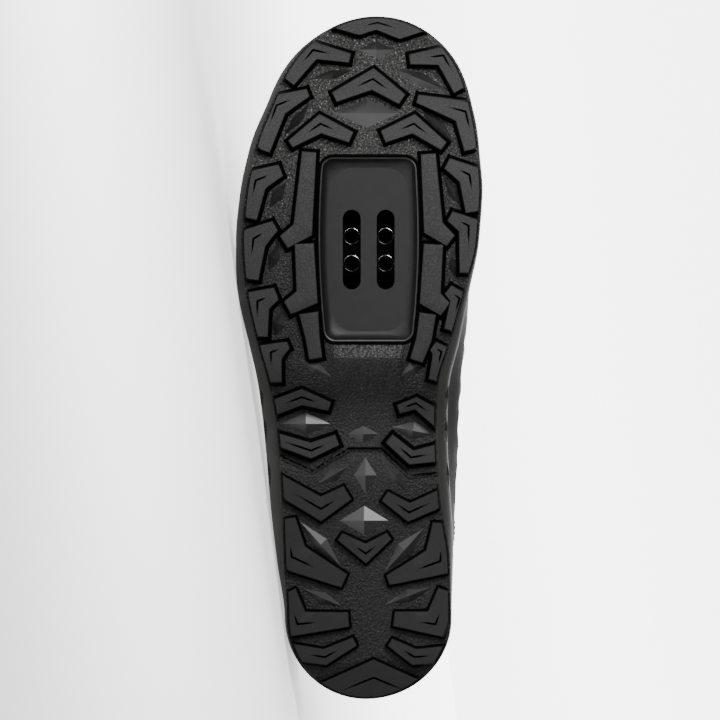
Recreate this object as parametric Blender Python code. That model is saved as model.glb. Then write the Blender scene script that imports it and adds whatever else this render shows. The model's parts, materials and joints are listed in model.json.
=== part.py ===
"""A cycling shoe for the right foot, in metres, lying on its lateral side with its tread facing -Y.

The pieces are modelled standing: X to the lateral side, Y from heel to toe, Z up from the ground.
The empty "shoe" then lays them down on the lateral side, on the sole's edge and the upper.
"""

import math

import bmesh
import bpy
import numpy as np
from mathutils import Matrix

# Sizes of the sole
SOLE_LENGTH = 0.2825
BALL_WIDTH = 0.101
HEEL_ROUND = 0.033
TOE_ROUND = 0.050
SIDE_FLARE = 0.005
TOE_SPRING = 0.024
SPRING_POWER = 1.8
ARCH_RISE = 0.0035
HEEL_BEVEL = 0.004
BEVEL_POWER = 1.5
SPRING_START = 0.735
BEVEL_END = 0.062
ARCH_FROM = 0.31
ARCH_TO = 0.50
MIDSOLE_HEEL = 0.020

# Sizes of the tread
LUG_HEIGHT = 0.005
RAIL_HEIGHT = 0.0042
FACET_HEIGHT = 0.0022
HEEL_STEP = 0.0015
OUTSOLE_BASE = 0.002
LUG_WIDTH = 0.005
LUG_DRAFT = 0.0010
TREAD_EDGE = 0.0006
PAD_EDGE = 0.0003
FACET_EDGE = 0.0009

# Sizes of the cleat pocket and its fittings
POCKET_LENGTH = 0.263 * SOLE_LENGTH
POCKET_FRONT = 0.396 * BALL_WIDTH
POCKET_REAR = 0.3465 * BALL_WIDTH
POCKET_CENTRE = (-0.0109 * BALL_WIDTH, 0.6566 * SOLE_LENGTH)
POCKET_CORNER = 0.0036
POCKET_SLOPE = 0.0019
PLATE_LEDGE = 0.0018
PLATE_LEVEL = 0.0085
PLATE_THICK = 0.003
SLOT_SPACING = 0.014
SLOT_WIDTH = 0.0074
SLOT_LENGTH = 0.033
NUT_PLATE = (0.027, 0.021, 0.002)
NUT_PITCH = 0.0112
BOSS_RADIUS = 0.0029
BOSS_DEPTH = 0.0022
THREAD_RADIUS = 0.0022
NUT_ROOM = 0.004

# Sizes of the last and the upper
INSTEP_RISE = 0.097
COLLAR_HEIGHT = 0.088
HEEL_CURVE = 0.012
FEATHER_INSET = 0.0015
FEATHER_FLARE = 0.72
TOE_SET = 0.0025
SWELL = 0.009
SWELL_TOP = 0.56
WALL = 0.0022
RAND_RAISE = 0.0008
COLLAR_PAD = 0.0040
PAD_FROM = 0.6
PAD_ROUND = 0.75
PAD_FRONT = 0.85
PAD_FADE = 0.3
COLLAR_CORNER = 0.112
THROAT_FRONT = 0.195
THROAT_REAR_GAP = 0.022
THROAT_FRONT_GAP = 0.014

# Sizes of the soft pieces
INSOLE_THICK = 0.0035
INSOLE_FIT = 0.0012
TONGUE_THICK = 0.004
TONGUE_WIDTH = 0.056
TONGUE_FRONT = 0.203
TONGUE_TOP = 0.099
TONGUE_TOP_START = 0.04
TONGUE_TOP_ROUND = 0.32
TONGUE_TIP_END = 1.10
TONGUE_TIP_ROUND = 0.5
STRAP_WIDTH = 0.022
STRAP_THICK = 0.0018

# Gaps: pieces that meet, and soft sheets that lie on a curved wall
GAP = 0.0003
WELD = 0.000004
SHEET_GAP = 0.0008
TONGUE_GAP = 0.0018

# How finely the curves are drawn
STATIONS = 36
HEEL_COLUMNS = 13
FRONT_COLUMNS = 20
COLUMNS_EVEN = 0.25
STRAP_ROWS = 5
STRAP_COLUMNS = 12
TONGUE_ROWS = 15
ROUND_SIDES = 20

# Weight of each material, in kg for a cubic metre
RUBBER_WEIGHT = 1150
FOAM_WEIGHT = 480
NYLON_WEIGHT = 1140
STEEL_WEIGHT = 7850
CLOTH_WEIGHT = 700
PAD_WEIGHT = 250

SIDES = (("lateral", 1), ("medial", -1))


def table(columns, *rows):
    """The rows of a table as one array for each named column."""
    return dict(zip(columns.split(), np.array(rows, float).T))


# Along is a share of the sole's length, widths of the ball width, flares of the side flare,
# body of the midsole's thickness at the heel. The toe turns to the medial side.
SOLE = table(
    "along centre lateral medial lateral_flare medial_flare body",
    (0.00, 0.000, 0.325, 0.345, 0.1, 0.1, 1.00),
    (0.12, 0.000, 0.323, 0.346, 0.2, 0.1, 1.00),
    (0.20, 0.000, 0.335, 0.342, 0.6, 0.3, 0.98),
    (0.30, 0.000, 0.346, 0.301, 1.0, 0.9, 0.90),
    (0.40, 0.000, 0.366, 0.288, 1.1, 0.9, 0.79),
    (0.46, 0.000, 0.398, 0.296, 0.9, 0.9, 0.71),
    (0.52, 0.000, 0.445, 0.345, 0.7, 0.7, 0.65),
    (0.60, 0.000, 0.493, 0.410, 0.7, 0.3, 0.56),
    (0.67, 0.000, 0.508, 0.458, 0.5, 0.1, 0.50),
    (0.74, -0.004, 0.495, 0.468, 0.5, 0.1, 0.45),
    (0.80, -0.010, 0.466, 0.450, 0.5, 0.1, 0.41),
    (0.88, -0.020, 0.418, 0.425, 0.4, 0.1, 0.35),
    (0.95, -0.033, 0.425, 0.430, 0.3, 0.1, 0.30),
    (1.00, -0.044, 0.430, 0.430, 0.0, 0.0, 0.27),
)

# Ridge is the last's height over the featherline as a share of the instep rise, fullness the
# power of its section, and the swells are shares of the swell: how far a side bulges low down.
LAST = table(
    "along ridge fullness lateral_swell medial_swell",
    (0.00, 1.35, 1.30, 0.30, 0.30),
    (0.10, 1.30, 1.30, 0.45, 0.40),
    (0.20, 1.20, 1.30, 0.60, 0.60),
    (0.30, 1.00, 1.45, 0.45, 0.95),
    (0.43, 0.78, 1.80, 0.15, 1.05),
    (0.54, 0.72, 1.90, 0.05, 0.60),
    (0.64, 0.63, 1.95, 0.05, 0.15),
    (0.72, 0.55, 2.05, 0.10, 0.10),
    (0.80, 0.46, 2.20, 0.10, 0.10),
    (0.90, 0.355, 2.30, 0.10, 0.10),
    (1.00, 0.20, 2.30, 0.00, 0.00),
)

# The back of the heel: height as a share of the collar height, set as a share of the heel curve.
HEEL_BACK = table(
    "along set",
    (0.00, 0.62), (0.30, 0.50), (0.52, 0.25), (0.70, 0.42), (0.87, 0.75), (1.05, 1.05),
)

# The collar's edge: along as a share of the collar's corner, height of the collar height.
COLLAR = table(
    "along height",
    (0.00, 1.00), (0.12, 0.99), (0.30, 0.92), (0.52, 0.84), (0.74, 0.89), (0.90, 0.96),
)

# The side of the midsole from tread to foot: height of its body, spread of the flare.
MIDSOLE_SIDE = (
    (0.00, -0.10), (0.10, 0.40), (0.32, 0.92), (0.62, 1.00), (0.65, 0.76), (0.73, 0.76),
    (0.76, 0.97), (0.93, 0.88), (1.00, FEATHER_FLARE),
)

# Chevron lugs and rails: the inner tip, the elbow and the outer tip, each as across, along and
# width. Across is in hundredths of the ball width, along of the sole's length, width of LUG_WIDTH.
LUGS = {
    "toe_lateral": ((6.5, 93.7, 80), (21.7, 94.9, 142), (32.0, 90.4, 130)),
    "toe_medial": ((-17.8, 93.5, 86), (-31.6, 94.1, 152), (-39.4, 89.2, 160)),
    "forefoot_centre": ((13.0, 87.9, 92), (-2.8, 90.6, 160), (-14.8, 87.6, 100)),
    "side2_lateral": ((23.6, 88.6, 70), (36.6, 86.7, 186), (43.0, 80.2, 160)),
    "side2_medial": ((-20.9, 87.7, 74), (-40.6, 85.8, 196), (-44.3, 80.3, 174)),
    "chevron_lateral": ((30.9, 81.0, 70), (18.6, 84.0, 144), (6.0, 82.0, 96)),
    "chevron_medial": ((-7.0, 82.1, 108), (-19.5, 84.0, 144), (-31.8, 80.7, 82)),
    "side3_lateral": ((34.7, 77.2, 104), (45.0, 75.7, 190), (48.4, 70.2, 160)),
    "side3_medial": ((-33.0, 78.2, 98), (-42.2, 76.5, 180), (-44.3, 71.1, 150)),
    "side4_lateral": ((37.0, 69.1, 94), (45.9, 67.2, 212), (48.0, 61.3, 170)),
    "side4_medial": ((-34.2, 70.5, 92), (-41.8, 69.1, 160), (-41.8, 62.2, 150)),
    "side5_lateral": ((36.5, 59.2, 110), (44.3, 58.1, 200), (44.7, 52.9, 190)),
    "side5_medial": ((-33.4, 59.8, 92), (-38.1, 58.5, 136), (-34.4, 53.8, 110)),
    "side6_lateral": ((31.6, 51.7, 64), (38.9, 50.6, 180), (38.5, 46.2, 170)),
    "side6_medial": ((-27.3, 51.6, 86), (-30.7, 50.7, 130), (-27.9, 46.5, 100)),
    "waist1_lateral": ((14.8, 42.7, 78), (26.2, 44.1, 128), (41.0, 42.1, 130)),
    "waist1_medial": ((-13.1, 42.3, 78), (-20.3, 43.2, 94), (-30.8, 40.6, 150)),
    "waist2_lateral": ((11.7, 37.9, 98), (22.5, 36.3, 128), (40.2, 38.4, 100)),
    "waist2_medial": ((-9.3, 38.1, 94), (-18.4, 35.3, 112), (-32.8, 36.2, 160)),
    "heel1_lateral": ((7.5, 30.2, 132), (18.4, 27.8, 180), (38.1, 31.9, 160)),
    "heel1_medial": ((-7.6, 29.7, 96), (-17.5, 27.3, 140), (-34.0, 29.9, 150)),
    "heel2_centre": ((10.7, 23.8, 74), (0.1, 21.3, 138), (-9.5, 23.9, 70)),
    "heel2_lateral": ((8.8, 17.3, 124), (30.3, 20.8, 250), (32.8, 26.4, 166)),
    "heel2_medial": ((-8.8, 17.4, 88), (-30.3, 20.2, 250), (-31.2, 25.8, 166)),
    "heel3_lateral": ((7.0, 11.7, 124), (27.9, 11.0, 196), (32.8, 15.7, 180)),
    "heel3_medial": ((-11.3, 11.8, 124), (-28.3, 11.0, 196), (-33.6, 15.8, 180)),
    "heel4_lateral": ((4.5, 8.5, 78), (16.8, 6.2, 132), (31.2, 7.0, 140)),
    "heel4_medial": ((-9.7, 8.4, 74), (-19.7, 6.2, 132), (-34.0, 6.7, 140)),
    "heel5_centre": ((20.0, -0.2, 240), (-3.1, 3.2, 280), (-26.0, -0.2, 240)),
}
RAILS = {
    "rail1_lateral": ((23.2, 79.9, 120), (25.8, 68.5, 160), (33.6, 66.7, 120)),
    "rail1_medial": ((-25.4, 79.6, 124), (-27.5, 68.8, 160), (-34.6, 66.9, 112)),
    "rail2_lateral": ((25.2, 66.5, 160), (24.0, 58.7, 170), (32.1, 57.1, 124)),
    "rail2_medial": ((-27.5, 66.4, 160), (-26.2, 58.5, 170), (-32.4, 56.9, 130)),
    "rail3_lateral": ((23.4, 56.4, 160), (21.8, 52.8, 120), (20.5, 49.7, 112)),
    "rail3_medial": ((-25.2, 56.3, 138), (-23.6, 52.5, 130), (-20.5, 49.4, 110)),
}

# The rear edge of the toe bumper and the front edge of the heel pad, in the same hundredths.
BUMPER_EDGE = ((13.0, 98.2), (2.8, 97.1), (-4.2, 97.9), (-13.8, 96.5), (-23.8, 97.7))
HEEL_EDGE = ((36.5, 35.6), (21.8, 33.2), (6.9, 36.5), (-6.0, 36.5), (-17.5, 32.5), (-30.5, 33.0))

# Faceted pads between the lugs: across and along in the same hundredths, length and width in
# hundredths of LUG_WIDTH, and the turn of the length from across towards the toe, in degrees.
FACETS = {
    "toe": (-4.3, 95.0, 332, 160, 0),
    "forefoot": (-0.4, 85.6, 600, 272, 0),
    "toe_lateral": (13.9, 91.3, 380, 88, -12),
    "toe_medial": (-22.1, 90.6, 510, 136, 23),
    "side2_lateral": (28.3, 84.6, 410, 88, -51),
    "side2_medial": (-29.5, 83.6, 530, 120, 46),
    "side3_lateral": (36.1, 73.6, 270, 116, -57),
    "side3_medial": (-35.7, 73.9, 330, 104, 56),
    "side4_lateral": (37.7, 64.5, 270, 112, -70),
    "side4_medial": (-35.7, 63.1, 210, 92, 78),
    "side5_lateral": (35.7, 54.8, 250, 130, -75),
    "waist_lateral": (24.6, 40.2, 440, 200, 0),
    "waist_medial": (-19.1, 39.2, 380, 168, 10),
    "waist_centre": (1.2, 38.7, 290, 150, 0),
    "breast_lateral": (13.5, 32.7, 340, 124, -30),
    "breast_centre": (0.3, 32.7, 340, 210, 90),
    "breast_medial": (-11.9, 32.6, 380, 104, 51),
    "heel1_centre": (0.8, 26.1, 440, 270, 0),
    "heel2_lateral": (18.5, 22.6, 560, 150, 48),
    "heel2_medial": (-15.6, 21.8, 540, 160, -48),
    "heel3_lateral": (17.6, 14.8, 400, 112, 24),
    "heel3_medial": (-17.2, 15.1, 450, 120, -20),
}

# Rhomb dents in the midsole's side, along the length, and their size.
DENTS_ALONG = (0.327, 0.392, 0.440)
DENT_LENGTH = 0.011
DENT_HEIGHT = 0.0055
DENT_DEPTH = 0.0012
DENT_LEVEL = 0.32

# The straps across the throat, along the length of the sole.
STRAPS_ALONG = {"strap_front": 0.648, "strap_middle": 0.545, "strap_rear": 0.442}
STRAP_REACH = 0.36


def read(rows, column, share):
    """A column between its rows, on a smooth curve that never overshoots them."""
    x = rows["along"]
    y = rows[column]
    at = np.clip(np.asarray(share, float), x[0], x[-1])
    step = np.diff(x)
    slope = np.diff(y) / step
    same_way = slope[:-1] * slope[1:] > 0
    total = np.where(same_way, slope[:-1] + slope[1:], 1.0)
    inner = np.where(same_way, 2 * slope[:-1] * slope[1:] / total, 0.0)
    tangent = np.concatenate([slope[:1], inner, slope[-1:]])
    i = np.clip(np.searchsorted(x, at, side="right") - 1, 0, len(x) - 2)
    t = (at - x[i]) / step[i]
    value = (1 + 2 * t) * (1 - t) ** 2 * y[i] + t**2 * (3 - 2 * t) * y[i + 1]
    return value + step[i] * (t * (1 - t) ** 2 * tangent[i] - t**2 * (1 - t) * tangent[i + 1])


def rounded(distance, radius):
    """From 0 at an end to 1 at a radius away from it, as a quarter of an ellipse."""
    t = np.clip(np.asarray(distance) / radius, 0, 1)
    return np.sqrt(1 - (1 - t) ** 2)


def toe_spring(y):
    share = np.asarray(y) / SOLE_LENGTH
    return TOE_SPRING * np.clip((share - SPRING_START) / (1 - SPRING_START), 0, None) ** SPRING_POWER


def ground(y):
    """The tread's height over the floor: heel bevel, arch and toe spring."""
    share = np.asarray(y) / SOLE_LENGTH
    bevel = HEEL_BEVEL * np.clip(1 - share / BEVEL_END, 0, None) ** BEVEL_POWER
    arch = np.clip((share - ARCH_FROM) / (ARCH_TO - ARCH_FROM), 0, 1)
    return bevel + ARCH_RISE * np.sin(math.pi * arch) ** 2 + toe_spring(y)


def midsole_base(y):
    return ground(y) + LUG_HEIGHT + OUTSOLE_BASE


def footbed(y):
    """The level that the foot's insole lies on, with no arch or bevel in it."""
    body_height = MIDSOLE_HEEL * read(SOLE, "body", np.asarray(y) / SOLE_LENGTH)
    return LUG_HEIGHT + OUTSOLE_BASE + body_height + toe_spring(y)


def midsole_level(y, height):
    """A level of the midsole, from 0 at the tread to 1 at the footbed."""
    return midsole_base(y) + height * (footbed(y) - midsole_base(y))


def centre(y):
    return BALL_WIDTH * read(SOLE, "centre", np.asarray(y) / SOLE_LENGTH)


def tread_half(side, y):
    return BALL_WIDTH * read(SOLE, side, np.asarray(y) / SOLE_LENGTH)


def flare(side, y):
    return SIDE_FLARE * read(SOLE, side + "_flare", np.asarray(y) / SOLE_LENGTH)


def stations(start, end):
    """Places along the shoe, closer together at both ends."""
    return start + (end - start) * (1 - np.cos(np.linspace(0, math.pi, STATIONS))) / 2


def ring(height, inset=0.0, spread=0.0, start=0.0, end=SOLE_LENGTH):
    """A closed outline: heel point, lateral side, toe point, medial side."""
    y = stations(start + inset, end - inset)
    caps = rounded(y - y[0], HEEL_ROUND) * rounded(y[-1] - y, TOE_ROUND)
    sides = []
    for side, sign in SIDES:
        half = (tread_half(side, y) + spread * flare(side, y) - inset) * caps
        sides.append(np.column_stack([centre(y) + sign * half, y, height(y)]))
    return np.vstack([sides[0], sides[1][-2:0:-1]])


def ladder(count, first):
    """The faces that close a ring, each one level from side to side."""
    half = count // 2
    faces = [(0, 1, count - 1), (half - 1, half, half + 1)]
    faces += [(i, i + 1, count - i - 1, count - i) for i in range(1, half - 1)]
    return [tuple(first + i for i in face) for face in faces]


def loft(rings):
    """Vertices and faces of a solid through rings of the same count."""
    count = len(rings[0])
    faces = ladder(count, 0) + ladder(count, count * (len(rings) - 1))
    for level in range(len(rings) - 1):
        low = level * count
        for i in range(count):
            j = (i + 1) % count
            faces.append((low + i, low + j, low + count + j, low + count + i))
    return np.vstack(rings), faces


def prism(outline, bottom, top, top_outline=None):
    """Vertices and faces of a solid between an outline and the same or another one above it."""
    count = len(outline)
    low = [(x, y, bottom) for x, y in outline]
    high = [(x, y, top) for x, y in (top_outline or outline)]
    faces = [tuple(range(count)), tuple(range(count, 2 * count))]
    faces += [(i, (i + 1) % count, count + (i + 1) % count, count + i) for i in range(count)]
    return low + high, faces


def joined(solids):
    """Several solids as one list of vertices and faces."""
    points = []
    faces = []
    for solid_points, solid_faces in solids:
        first = len(points)
        points += [tuple(point) for point in solid_points]
        faces += [tuple(first + i for i in face) for face in solid_faces]
    return points, faces


def linear(channel):
    return channel / 12.92 if channel <= 0.04045 else ((channel + 0.055) / 1.055) ** 2.4


def material(name, colour, roughness, metallic=0.0):
    made = bpy.data.materials.new(name)
    made.use_nodes = True
    shader = made.node_tree.nodes["Principled BSDF"]
    channels = [linear(int(colour[i : i + 2], 16) / 255) for i in (1, 3, 5)]
    shader.inputs["Base Color"].default_value = (*channels, 1)
    shader.inputs["Roughness"].default_value = roughness
    shader.inputs["Metallic"].default_value = metallic
    return made


def body(name, shape, finish=None):
    """An object from vertices and faces, with its faces turned outwards."""
    points, faces = shape
    mesh = bpy.data.meshes.new(name)
    mesh.from_pydata([tuple(map(float, point)) for point in points], [], faces)
    shell = bmesh.new()
    shell.from_mesh(mesh)
    bmesh.ops.recalc_face_normals(shell, faces=shell.faces)
    bmesh.ops.triangulate(shell, faces=[f for f in shell.faces if len(f.verts) == 4])
    shell.to_mesh(mesh)
    shell.free()
    made = bpy.data.objects.new(name, mesh)
    bpy.context.scene.collection.objects.link(made)
    if finish:
        mesh.materials.append(finish)
    return made


def combine(target, operation, shape):
    """The target joined with, cut by or kept inside another shape."""
    other = body("tool", shape)
    step = target.modifiers.new(operation.lower(), "BOOLEAN")
    step.operation = operation
    step.solver = "EXACT"
    step.use_self = True
    step.object = other
    bpy.context.view_layer.update()
    graph = bpy.context.evaluated_depsgraph_get()
    result = bpy.data.meshes.new_from_object(target.evaluated_get(graph))
    seams = bmesh.new()
    seams.from_mesh(result)
    bmesh.ops.remove_doubles(seams, verts=seams.verts, dist=WELD)
    seams.to_mesh(result)
    seams.free()
    target.modifiers.clear()
    old = target.data
    target.data = result
    bpy.data.meshes.remove(old)
    tool_mesh = other.data
    bpy.data.objects.remove(other)
    bpy.data.meshes.remove(tool_mesh)


def union_with(target, other):
    """Joins a helper object to the target, and removes the helper."""
    mesh = other.data
    shape = [v.co[:] for v in mesh.vertices], [tuple(p.vertices) for p in mesh.polygons]
    combine(target, "UNION", shape)
    bpy.data.objects.remove(other)
    bpy.data.meshes.remove(mesh)


def plan(point):
    """A place on the tread from hundredths of the ball width and of the sole's length."""
    return np.array([point[0] * BALL_WIDTH / 100, point[1] * SOLE_LENGTH / 100])


def grown(outline, margin):
    """An outline in plan with each edge moved outwards by a margin."""
    points = np.array(outline)
    turned = np.roll(points, -1, 0) - points
    area = (points[:, 0] * turned[:, 1] - points[:, 1] * turned[:, 0]).sum()
    outwards = 1 if area > 0 else -1
    edge = turned / np.linalg.norm(turned, axis=1)[:, None]
    normal = outwards * np.column_stack([edge[:, 1], -edge[:, 0]])
    before = np.roll(normal, 1, 0)
    middle = normal + before
    middle /= (middle * normal).sum(1)[:, None]
    return [tuple(point) for point in points + margin * middle]


def chevron(row):
    """A band in plan around inner tip, elbow and outer tip, with its width at each."""
    tip, elbow, end = (plan(point) for point in row)
    widths = [point[2] * LUG_WIDTH / 200 for point in row]
    first = (elbow - tip) / np.linalg.norm(elbow - tip)
    last = (end - elbow) / np.linalg.norm(end - elbow)
    across_first = np.array([-first[1], first[0]])
    across_last = np.array([-last[1], last[0]])
    middle = across_first + across_last
    across_elbow = middle / (middle @ across_first)
    offsets = [across_first * widths[0], across_elbow * widths[1], across_last * widths[2]]
    spine = [tip, elbow, end]
    left = [tuple(point + offset) for point, offset in zip(spine, offsets)]
    right = [tuple(point - offset) for point, offset in zip(spine, offsets)]
    return left + right[::-1]


def raised(outline, height):
    """A drafted block that stands out of the tread's base by a height."""
    root = LUG_HEIGHT + OUTSOLE_BASE / 2
    return prism(outline, LUG_HEIGHT - height, root, grown(outline, LUG_DRAFT))


def facet(row):
    """A low four-sided pad with its peak over the middle."""
    across, along, length, width, turn = row
    middle = plan((across, along))
    lengthways = np.array([math.cos(math.radians(turn)), math.sin(math.radians(turn))])
    sideways = np.array([-lengthways[1], lengthways[0]])
    long_arm = lengthways * length * LUG_WIDTH / 200
    short_arm = sideways * width * LUG_WIDTH / 200
    corners = [middle + long_arm, middle + short_arm, middle - long_arm, middle - short_arm]
    root = LUG_HEIGHT + OUTSOLE_BASE / 2
    points = [(x, y, level) for level in (root, LUG_HEIGHT) for x, y in corners]
    points.append((*middle, LUG_HEIGHT - FACET_HEIGHT))
    faces = [(0, 1, 2, 3)]
    for i in range(4):
        j = (i + 1) % 4
        faces += [(i, j, 4 + j, 4 + i), (4 + i, 4 + j, 8)]
    return points, faces


def pocket(margin):
    """The pocket's outline in plan, with round corners, grown by a margin."""
    middle = np.array(POCKET_CENTRE)
    corner = POCKET_CORNER + max(margin, 0)
    rear = POCKET_REAR / 2 + margin - corner
    front = POCKET_FRONT / 2 + margin - corner
    end = POCKET_LENGTH / 2 + margin - corner
    outline = []
    steps = ROUND_SIDES // 4
    for quarter, (x, y) in enumerate(((front, end), (-front, end), (-rear, -end), (rear, -end))):
        for step in range(steps + 1):
            turn = math.pi / 2 * (quarter + step / steps)
            round_edge = corner * np.array([math.cos(turn), math.sin(turn)])
            outline.append(tuple(middle + (x, y) + round_edge))
    return outline


def slot(x, margin=0.0):
    """A long hole with round ends, in plan."""
    radius = SLOT_WIDTH / 2 + margin
    straight = (SLOT_LENGTH - SLOT_WIDTH) / 2
    outline = []
    for step in range(ROUND_SIDES + 2):
        end = step // (ROUND_SIDES // 2 + 1)
        turn = math.pi * (step - end) / (ROUND_SIDES / 2)
        y = POCKET_CENTRE[1] + (straight if end == 0 else -straight)
        outline.append((x + radius * math.cos(turn), y + radius * math.sin(turn)))
    return outline


def circle(x, y, radius):
    turns = [2 * math.pi * i / ROUND_SIDES for i in range(ROUND_SIDES)]
    return [(x + radius * math.cos(turn), y + radius * math.sin(turn)) for turn in turns]


def flat(level):
    return lambda y: np.full(len(y), level)


def bend(made):
    """Bends a piece that was made flat to the tread's bevel, arch and toe spring."""
    mesh = made.data
    places = np.array([v.co[:] for v in mesh.vertices])
    places[:, 2] += ground(places[:, 1])
    mesh.vertices.foreach_set("co", places.astype(np.float32).ravel())
    mesh.update()


def make_outsole(finish):
    top = LUG_HEIGHT + OUTSOLE_BASE - GAP
    outsole = body("outsole", loft([ring(flat(LUG_HEIGHT)), ring(flat(top))]), finish)
    beyond = BALL_WIDTH
    heel = [tuple(plan(point)) for point in HEEL_EDGE]
    heel = [(beyond, heel[0][1])] + heel + [(-beyond, heel[-1][1]), (-beyond, -beyond), (beyond, -beyond)]
    bumper = [tuple(plan(point)) for point in BUMPER_EDGE]
    far = SOLE_LENGTH + LUG_WIDTH
    bumper = bumper + [(bumper[-1][0], far), (bumper[0][0], far)]
    root = LUG_HEIGHT + OUTSOLE_BASE / 2
    layers = (
        (PAD_EDGE, [prism(heel, LUG_HEIGHT - HEEL_STEP, root)]),
        (
            TREAD_EDGE,
            [raised(chevron(row), LUG_HEIGHT) for row in LUGS.values()]
            + [raised(chevron(row), RAIL_HEIGHT) for row in RAILS.values()]
            + [raised(bumper, LUG_HEIGHT)],
        ),
        (FACET_EDGE, [facet(row) for row in FACETS.values()]),
    )
    for edge, shapes in layers:
        layer = body("layer", joined(shapes))
        inside = loft([ring(flat(-LUG_HEIGHT), edge), ring(flat(2 * LUG_HEIGHT), edge)])
        combine(layer, "INTERSECT", inside)
        union_with(outsole, layer)
    window = prism(pocket(0), LUG_HEIGHT - GAP, top + GAP, pocket(-POCKET_SLOPE))
    combine(outsole, "DIFFERENCE", window)
    bend(outsole)
    return outsole


def dent(side, sign, along):
    """A rhomb-shaped block that dents the midsole's side."""
    y = along * SOLE_LENGTH
    level = float(midsole_level(y, DENT_LEVEL))
    face = float(centre(y) + sign * (tread_half(side, y) + flare(side, y)))
    rhomb = ((DENT_LENGTH / 2, 0), (0, DENT_HEIGHT / 2), (-DENT_LENGTH / 2, 0), (0, -DENT_HEIGHT / 2))
    depths = (face - sign * DENT_DEPTH, face + sign * SIDE_FLARE)
    points = [(x, y + along_step, level + up) for x in depths for along_step, up in rhomb]
    faces = [(0, 1, 2, 3), (4, 5, 6, 7)]
    faces += [(i, (i + 1) % 4, 4 + (i + 1) % 4, 4 + i) for i in range(4)]
    return points, faces


def make_midsole(finish):
    rings = []
    for height, spread in MIDSOLE_SIDE:
        rings.append(ring(lambda y: midsole_level(y, height), 0.0, spread))
    midsole = body("midsole", loft(rings), finish)
    seat = PLATE_LEDGE - POCKET_SLOPE + GAP
    combine(midsole, "DIFFERENCE", prism(pocket(-POCKET_SLOPE), 0, PLATE_LEVEL))
    combine(midsole, "DIFFERENCE", prism(pocket(seat), PLATE_LEVEL - GAP, PLATE_LEVEL + PLATE_THICK + GAP))
    opening = prism(pocket(-NUT_ROOM), PLATE_LEVEL + PLATE_THICK, 2 * MIDSOLE_HEEL)
    combine(midsole, "DIFFERENCE", opening)
    dents = [dent(side, sign, along) for side, sign in SIDES for along in DENTS_ALONG]
    combine(midsole, "DIFFERENCE", joined(dents))
    return midsole


def make_cleat_plate(finish):
    outline = pocket(PLATE_LEDGE - POCKET_SLOPE)
    plate = body("cleat_plate", prism(outline, PLATE_LEVEL, PLATE_LEVEL + PLATE_THICK), finish)
    places = [POCKET_CENTRE[0] + sign * SLOT_SPACING / 2 for sign in (-1, 1)]
    holes = [prism(slot(x), PLATE_LEVEL - GAP, PLATE_LEVEL + PLATE_THICK + GAP) for x in places]
    combine(plate, "DIFFERENCE", joined(holes))
    return plate


def make_nut_plate(finish):
    length, width, thick = NUT_PLATE
    x, y = POCKET_CENTRE
    corners = [(x + i * length / 2, y + j * width / 2) for i, j in ((-1, -1), (1, -1), (1, 1), (-1, 1))]
    base = PLATE_LEVEL + PLATE_THICK + GAP
    plate = body("nut_plate", prism(corners, base, base + thick), finish)
    spots = [
        (x + i * SLOT_SPACING / 2, y + j * NUT_PITCH / 2) for i in (-1, 1) for j in (-1, 1)
    ]
    bosses = [prism(circle(*spot, BOSS_RADIUS), base - BOSS_DEPTH, base + thick / 2) for spot in spots]
    combine(plate, "UNION", joined(bosses))
    holes = [
        prism(circle(*spot, THREAD_RADIUS), base - 2 * BOSS_DEPTH, base + 2 * thick) for spot in spots
    ]
    combine(plate, "DIFFERENCE", joined(holes))
    return plate


def heel_back(z):
    """How far forward the back of the heel is at a height."""
    return HEEL_CURVE * read(HEEL_BACK, "set", z / COLLAR_HEIGHT)


def last_half(side, y, z):
    """The last's half width at the featherline, rounded in at the heel's back and at the toe."""
    half = tread_half(side, y) + FEATHER_FLARE * flare(side, y) - FEATHER_INSET
    caps = rounded(y - heel_back(z), HEEL_ROUND) * rounded(SOLE_LENGTH - TOE_SET - y, TOE_ROUND)
    return half * caps, caps


def ridge(y):
    """The last's height over the featherline along its middle."""
    rise = INSTEP_RISE * read(LAST, "ridge", y / SOLE_LENGTH)
    return rise * rounded(SOLE_LENGTH - TOE_SET - y, TOE_ROUND)


def last_point(side, sign, y, rise):
    """A point on the last's side at a share of its ridge height."""
    power = float(read(LAST, "fullness", y / SOLE_LENGTH))
    z = float(footbed(y) + GAP + rise * ridge(y))
    half, caps = last_half(side, y, z)
    width = half * max(1 - rise**power, 0) ** (1 / power)
    swell = SWELL * read(LAST, side + "_swell", y / SOLE_LENGTH)
    bulge = swell * math.sin(math.pi * min(rise / SWELL_TOP, 1)) ** 2 * caps
    return np.array([float(centre(y) + sign * (width + bulge)), y, z])


def rise_at(side, y, across):
    """The share of the ridge height where the last is a given distance from its middle."""
    power = float(read(LAST, "fullness", y / SOLE_LENGTH))
    half, _ = last_half(side, y, float(footbed(y)) + ridge(y) / 2)
    share = min(abs(across) / max(float(half), 1e-6), 1)
    return (1 - share**power) ** (1 / power)


def throat_gap(y):
    """Half the width of the throat, rounded to nothing at its front."""
    along = (y - COLLAR_CORNER) / (THROAT_FRONT - COLLAR_CORNER)
    gap = THROAT_REAR_GAP + (THROAT_FRONT_GAP - THROAT_REAR_GAP) * along
    return gap * float(rounded(THROAT_FRONT - y, THROAT_FRONT_GAP))


# Rows of the upper from featherline to edge, as angles of a quarter turn; the rand ends at the
# step between the fourth and the fifth.
UPPER_ROWS = (0.0, 0.12, 0.24, 0.325, 0.345, 0.43, 0.52, 0.61, 0.70, 0.78, 0.86, 0.93, 0.97, 1.0)
RAND_ROWS = 4


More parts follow.
